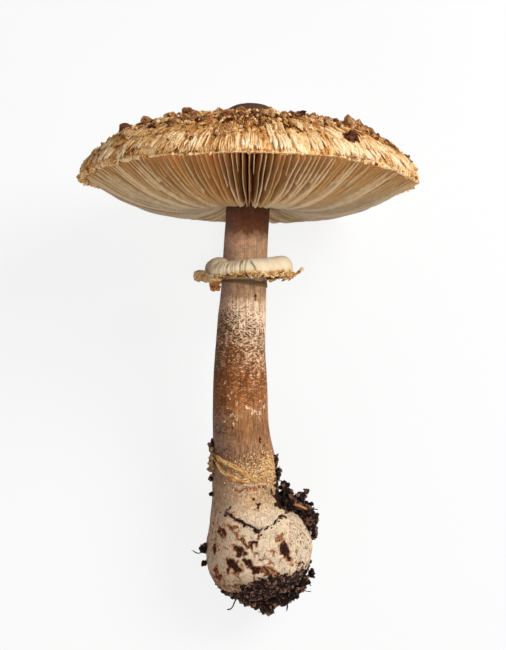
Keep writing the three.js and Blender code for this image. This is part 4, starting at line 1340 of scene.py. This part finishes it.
def strand(rows, threads, seed):
    """Thin tubes that wind round one course: each is shifted up and out by a slow sine."""
    rows = np.array(rows, float)
    place = travelled(np.diff(rows[:, 0]) * MM_PER_DEGREE, np.diff(rows[:, 1]))
    at = np.linspace(0, place[-1], int(place[-1] / 1.5))
    degrees, height = through(np.column_stack([place, rows]), at).T
    beads = on_stem(degrees, height + 0.5 * noise(spot(at / 0.9, 7.7, 0.0), seed), 0.55)
    beads = beads[noise(spot(at / 2.1, 3.9, 0.0), seed + 1) > -0.25]
    size = np.random.default_rng(seed).uniform(0.3, 0.9, (len(beads), 3))
    made = [crumbs(beads, size, 2, seed, 0.5)]
    for k in range(threads):
        wind = at / 3.1 + 2 * np.pi * k / threads + 0.8 * np.sin(at / 4 + k)
        stray = 0.25 * noise(spot(at / 2.0, 3.3 * k, 0.0), seed)
        course = on_stem(degrees, height + 0.62 * np.cos(wind) + stray, 0.62 + 0.42 * np.sin(wind) + stray)
        made.append(tube(course, 0.55 - 0.04 * k, 5 * len(at), 7, seed + k, 0.75))
    return gathered(*made)


draw = np.random.default_rng(90)
flap_core = crumbs([(-16.4, -3.5, 61.8)], [(1.7, 3.4, 4.4)], 4, 91, 0.35, 0.15)
flap_bits = crumbs(
    np.array([-17, -4.5, 61.5]) + draw.normal(0, 1, (34, 3)) * [0.9, 1.6, 2.4],
    draw.uniform(0.35, 0.95, (34, 1)) * [1, 1, 1.2], 2, 92, 0.5,
)
TATTERS = 760
tatter_turn = -40 + 108 * draw.uniform(0, 1, TATTERS) ** 0.7
tatters = on_stem(tatter_turn, 58 + 0.06 * tatter_turn + draw.normal(0, 3.8, TATTERS), 0.0)
tatter_bits = crumbs(tatters, draw.uniform(0.2, 0.6, (TATTERS, 1)) * [1.3, 0.8, 1.1], 1, 93, 0.5)
points, faces, number, bumps = gathered(
    strand(UPPER_STRAND, 4, 94), strand(LOWER_STRAND, 3, 104), flap_core, flap_bits, tatter_bits
)
band_finish, add, band, grown, grain, bump_mask, number_mask, dull = tissue(
    "torn golden skin", 0.75, [(1.4, 4, 0.65)], ["bumps", "number", "dull"], Specular_IOR_Level=0.25
)
tone = add("Math", [grain, 1.1, bump_mask], **SUM)
tone = add("Math", [number_mask, 0.4, tone], **SUM)
colour = add("ValToRGB", [tone], stops=[
    (0.4, "#7c4218"), (0.6, "#c8823c"), (0.78, "#e2b170"), (1.0, "#f8e2b4"),
])
add("Mix", {0: dull, 6: colour, 7: "#6c4a2c"}, into=band["Base Color"], **COLOUR)
add("Bump", {"Height": grain, "Distance": 0.0003, "Strength": 0.6}, into=band["Normal"])
piece(
    "torn_skin_band", points, [faces], band_finish, "torn_skin", ["skin_band"],
    bumps=0.3 * bumps, number=number, dull=0.75 * ramp(points[:, 0], -14.2, -15.2),
)

# %% [markdown]
# ## Soil
#
# Forest soil is crumbs of all sizes, held together by fine roots. Each clod has the CAD model's lumps,
# a little smaller, as its body. Crumbs are strewn over them, most of them under half a millimetre in
# radius and the largest about two, and threads of root stick out of the larger lumps.

# %% Clods
SOIL_PIECES = {  # lumps: centre and the three radii
    "soil_clod_side": [
        ((11.4, -3, 63), (1.4, 2.4, 3.4)), ((12.6, -4, 57.4), (1.5, 2.8, 3.8)),
        ((15.4, -4, 51.6), (2.2, 3, 2.6)), ((17, -6, 47.6), (3.4, 4.4, 3.6)),
        ((22.4, -4.4, 47.8), (3.2, 2.6, 1.7)), ((25, -4.6, 49.8), (1.4, 1.4, 1.2)),
        ((19, -5, 44.2), (6, 6, 3.6)), ((24.6, -4, 41.6), (3.8, 5.4, 3.6)),
        ((27.4, -3, 37.4), (3.0, 5, 4.4)), ((28.8, -3, 32.6), (1.5, 3, 3.6)),
        ((24.4, -3.4, 34.6), (2.2, 4, 4.4)), ((25.4, -3, 30.2), (1.2, 2.4, 3.4)),
        ((27.4, -3, 29), (2.4, 2.4, 1.1)), ((18, 5.4, 42.6), (6, 6.4, 5)),
    ],
    "soil_clod_base": [
        ((-1.6, -3, 1.0), (3, 5, 2.2)), ((3, -4, 0.2), (5, 7, 2.6)), ((7.6, -6, -2.0), (3.2, 4, 2.6)),
        ((13, -5, 2.6), (6, 7, 3.4)), ((18.6, -5, 6), (5, 6, 3.4)), ((23.4, -5, 9.6), (3.2, 4, 3.6)),
        ((27.4, -5, 13.2), (1.6, 2.2, 2.0)), ((8, 6, 1.6), (9, 7, 2.6)),
    ],
    "soil_crumb_left": [((-20.6, -4, 24.2), (2.1, 2.4, 2.4))],
    "soil_crumb_left_small": [((-20.2, -5, 18.2), (1.2, 1.4, 1.6))],
    "soil_crumb_band": [((-17, -2, 69.8), (1.7, 2.6, 2.2))],
    "soil_crumb_band_small": [((-17.4, -4, 55.4), (1.3, 1.6, 1.7))],
    "soil_crumb_corner": [((-17.2, -7, 48.6), (1.1, 1.2, 1.1))],
}


CRUMBS_PER_AREA, FEWEST_CRUMBS, MOST_CRUMBS, MOST_ROOTS = 11, 16, 320, 26  # of a lump, and of a clod


def clod(lumps, seed):
    """Rough lumps with smaller crumbs on their surface, as many as its area asks for, and roots."""
    draw = np.random.default_rng(seed)
    centres, radii = (np.array(part, float) for part in zip(*lumps))
    bodies = crumbs(centres, 0.74 * radii, 3, seed, 0.5, 0.3)
    girth = radii.prod(axis=1) ** (2 / 3)
    count = np.clip((CRUMBS_PER_AREA * girth).astype(int), FEWEST_CRUMBS, MOST_CRUMBS)
    owner = np.repeat(np.arange(len(lumps)), count)
    way = unit(draw.normal(size=(len(owner), 3)))
    seats = centres[owner] + radii[owner] * way * draw.uniform(0.5, 0.98, (len(owner), 1))
    size = np.minimum(0.2 + 1.4 * draw.uniform(0, 1, len(owner)) ** 3.5, 0.6 * radii[owner].min(axis=1))
    bits = crumbs(seats, size[:, None] * draw.uniform(0.6, 1.3, (len(owner), 3)), 1, seed + 1, 0.6)
    roots = []
    for k in range(min(MOST_ROOTS, 3 * len(lumps))):
        home = draw.integers(len(lumps))
        way = unit(draw.normal(size=3))
        start = centres[home] + 0.7 * radii[home] * way
        bends = draw.normal(0, 0.7, (3, 3))
        reach = draw.uniform(0.5, 1.2)
        course = [start, start + 0.5 * reach * way + bends[0] * 0.6, start + reach * way * 1.6 + bends[1]]
        if radii[home].min() > 2:
            course = start + (np.array(course) - start) * 1.8
            roots.append(tube(course, draw.uniform(0.12, 0.45), 14, 5, seed + 2 + k, 0.5))
    return gathered(bodies, bits, *roots)


soil_finish, add, soil, grown, grain, number_mask, bump_mask = tissue(
    "forest soil", 0.93, [(0.8, 5, 0.7)], ["number", "bumps"], Specular_IOR_Level=0.2
)
tone = add("Math", [number_mask, 0.5, bump_mask], **SUM)
tone = add("Math", [grain, 1.1, tone], **SUM)
add("ValToRGB", [tone], into=soil["Base Color"], stops=[
    (0.6, "#050302"), (0.84, "#20130d"), (1.02, "#472c22"), (1.2, "#8c6655"),
])
add("Bump", {"Height": grain, "Distance": 0.0006, "Strength": 0.9}, into=soil["Normal"])
draw = np.random.default_rng(190)
CRUST_TRIES, CRUST_CRUMBS, FALLEN = 9000, 1900, 60
crust_way = unit(draw.normal(size=(CRUST_TRIES, 3)) * [1, 0.7, 0.5] + [0.25, -0.5, -0.85])
crust_at = BULB_CENTRE + bulb_radius(crust_way)[:, None] * crust_way
crust_x, crust_z = from_front(crust_at)
upper_edge = listed(crust_x, SOIL_EDGE) + draw.normal(0, 1.3, len(crust_at))
crust_at = crust_at[(crust_z < upper_edge) & (crust_at[:, 1] < 3)][:CRUST_CRUMBS]
crust = crumbs(crust_at, 0.22 + 1.0 * draw.uniform(0, 1, (len(crust_at), 1)) ** 3, 1, 191, 0.5)
fallen_x = draw.uniform(-11, 17, FALLEN)
fallen_z = listed(fallen_x, CREASE) + draw.normal(-0.3, 0.8, FALLEN)
apart = np.hypot(seen_x[..., None] - fallen_x, seen_z[..., None] - fallen_z) + 99 * (y[..., None] > 0)
nearest = np.argmin(apart.reshape(-1, FALLEN), 0)
fallen = crumbs(smooth_stem.reshape(-1, 3)[nearest], draw.uniform(0.2, 0.55, (FALLEN, 1)), 2, 192, 0.5)
for seed, (name, lumps) in enumerate(SOIL_PIECES.items()):
    points, faces, number, bumps = clod(lumps, 200 + 40 * seed)
    if name == "soil_clod_base":
        points, faces, number, bumps = gathered((points, faces, number, bumps), crust, fallen)
    piece(
        f"{name}_crumbs", points, [faces], soil_finish, "soil", [name], smooth=False,
        number=number, bumps=0.3 * bumps,
    )

# %% [markdown]
# Two loose threads are left: a hair root that curls out under the bulb, and the orange blade of dead
# grass in the side clod.

# %% Root and straw
ROOTLET = [(-5.4, -7.6, 3.6), (-6.8, -8.4, 1.4), (-7.6, -9, -0.4), (-8.8, -9.3, -1.5), (-10.2, -9.4, -1.6)]
STRAW_BLADE = [(19.4, -11.2, 45.0), (22.4, -12, 44.0), (25.2, -11.4, 42.8)]
points, faces, number, bumps = tube(ROOTLET, 0.3, 40, 8, 301, 0.3)
piece("hair_root", points, [faces], soil_finish, "soil", ["rootlet"], number=number, bumps=0.3 * bumps)

straw_finish, add, straw, grown = tissue("dead grass", 0.55, Specular_IOR_Level=0.4)
along = add("Mapping", {"Vector": grown, "Scale": (2.4, 3.0, 0.8)})
streak = add("TexNoise", {"Vector": along, "Scale": 1.0, "Detail": 4})
add("ValToRGB", [streak], into=straw["Base Color"], stops=[(0.3, "#94582a"), (0.65, "#d99a5c")])
add("Bump", {"Height": streak, "Distance": 0.0003, "Strength": 0.6}, into=straw["Normal"])
points, faces, number, bumps = tube(STRAW_BLADE, 0.5, 40, 12, 302, 0.45)
piece("straw_blade", points, [faces], straw_finish, "straw", ["straw"])

# %% [markdown]
# ## Light and floor
#
# One soft lamp stands to the upper right, as seen by the camera. The gills face away from it, so a
# weaker and wider lamp stands low in front, and a spot sends a little light in between the blades
# that hang edge-on to the camera. The world fills in the rest evenly. The floor is pale: camera rays
# see it mostly as plain white, so that only a soft shadow is left of how the mushroom rests on it.

# %% Lamps, world and floor
LAMPS_AT = np.array([0, 0, 110.0])  # the mushroom's middle, in growing millimetres
LAMPS_AWAY = 800


def lamp(name, direction, size, power):
    """A square lamp that stands in a direction of the growing frame from the mushroom's middle."""
    data = bpy.data.lights.new(name, "AREA")
    data.size = size / 1000
    data.energy = power
    place = LAMPS_AT + LAMPS_AWAY * unit(np.array(direction, float))
    aimed(name, data, laid_down(place), laid_down(LAMPS_AT))


def rays_of(tree, *kinds):
    """1 for rays of these kinds and 0 for all others."""
    seen = [node(tree, "LightPath", out=f"Is {kind} Ray") for kind in kinds]
    return reduce(lambda one, other: node(tree, "Math", [one, other], operation="MAXIMUM"), seen)


lamp("key_lamp", (0.8, -0.75, 0.62), 420, 5.25)
lamp("low_lamp", (-0.2, -0.65, -0.7), 600, 1.8)

spot_data = bpy.data.lights.new("gill_spot", "SPOT")
spot_data.energy = 5.2
spot_data.shadow_soft_size = 0.05
spot_data.spot_size = np.radians(15)
spot_data.spot_blend = 1.0
spot_place = np.array([[45.0, -600.0, 110.0], [0.0, 0.0, 186.0]])
aimed("gill_spot", spot_data, *laid_down(spot_place))

world = bpy.data.worlds.new("pale studio")
world.use_nodes = True
background = world.node_tree.nodes["Background"].inputs
seen = rays_of(world.node_tree, "Camera", "Glossy")
node(world.node_tree, "MapRange", {"Value": seen, "To Min": 0.3, "To Max": 1.0}, into=background["Strength"])
background["Color"].default_value = (1, 1, 1, 1)
bpy.context.scene.world = world

floor_finish, add, floor = material("pale studio floor", 0.9, Specular_IOR_Level=0.0)
floor["Base Color"].default_value = linear("#f4f4f4")
seen = rays_of(floor_finish.node_tree, "Camera", "Glossy", "Transmission")
white = add("Emission", {"Color": "#ffffff", "Strength": 1.0})
share = add("Math", [seen, 0.82], **PRODUCT)
FLOOR = 3.0
floor_mesh = bpy.data.meshes.new("studio_floor")
corners = [(-FLOOR, -FLOOR, 0), (FLOOR, -FLOOR, 0), (FLOOR, FLOOR, 0), (-FLOOR, FLOOR, 0)]
floor_mesh.from_pydata(corners, [], [(0, 1, 2, 3)])
floor_mesh.materials.append(floor_finish)
floor_object = bpy.data.objects.new("studio_floor", floor_mesh)
bpy.context.scene.collection.objects.link(floor_object)
nodes = floor_finish.node_tree.nodes
surface = nodes["Material Output"].inputs["Surface"]
add("MixShader", {0: share, 1: nodes["Principled BSDF"].outputs[0], 2: white}, into=surface)
floor_object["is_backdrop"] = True

bpy.context.scene.view_settings.view_transform = "Standard"

# %% Sizes and the end
size = {"cad": cad_box, "visual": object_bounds()}
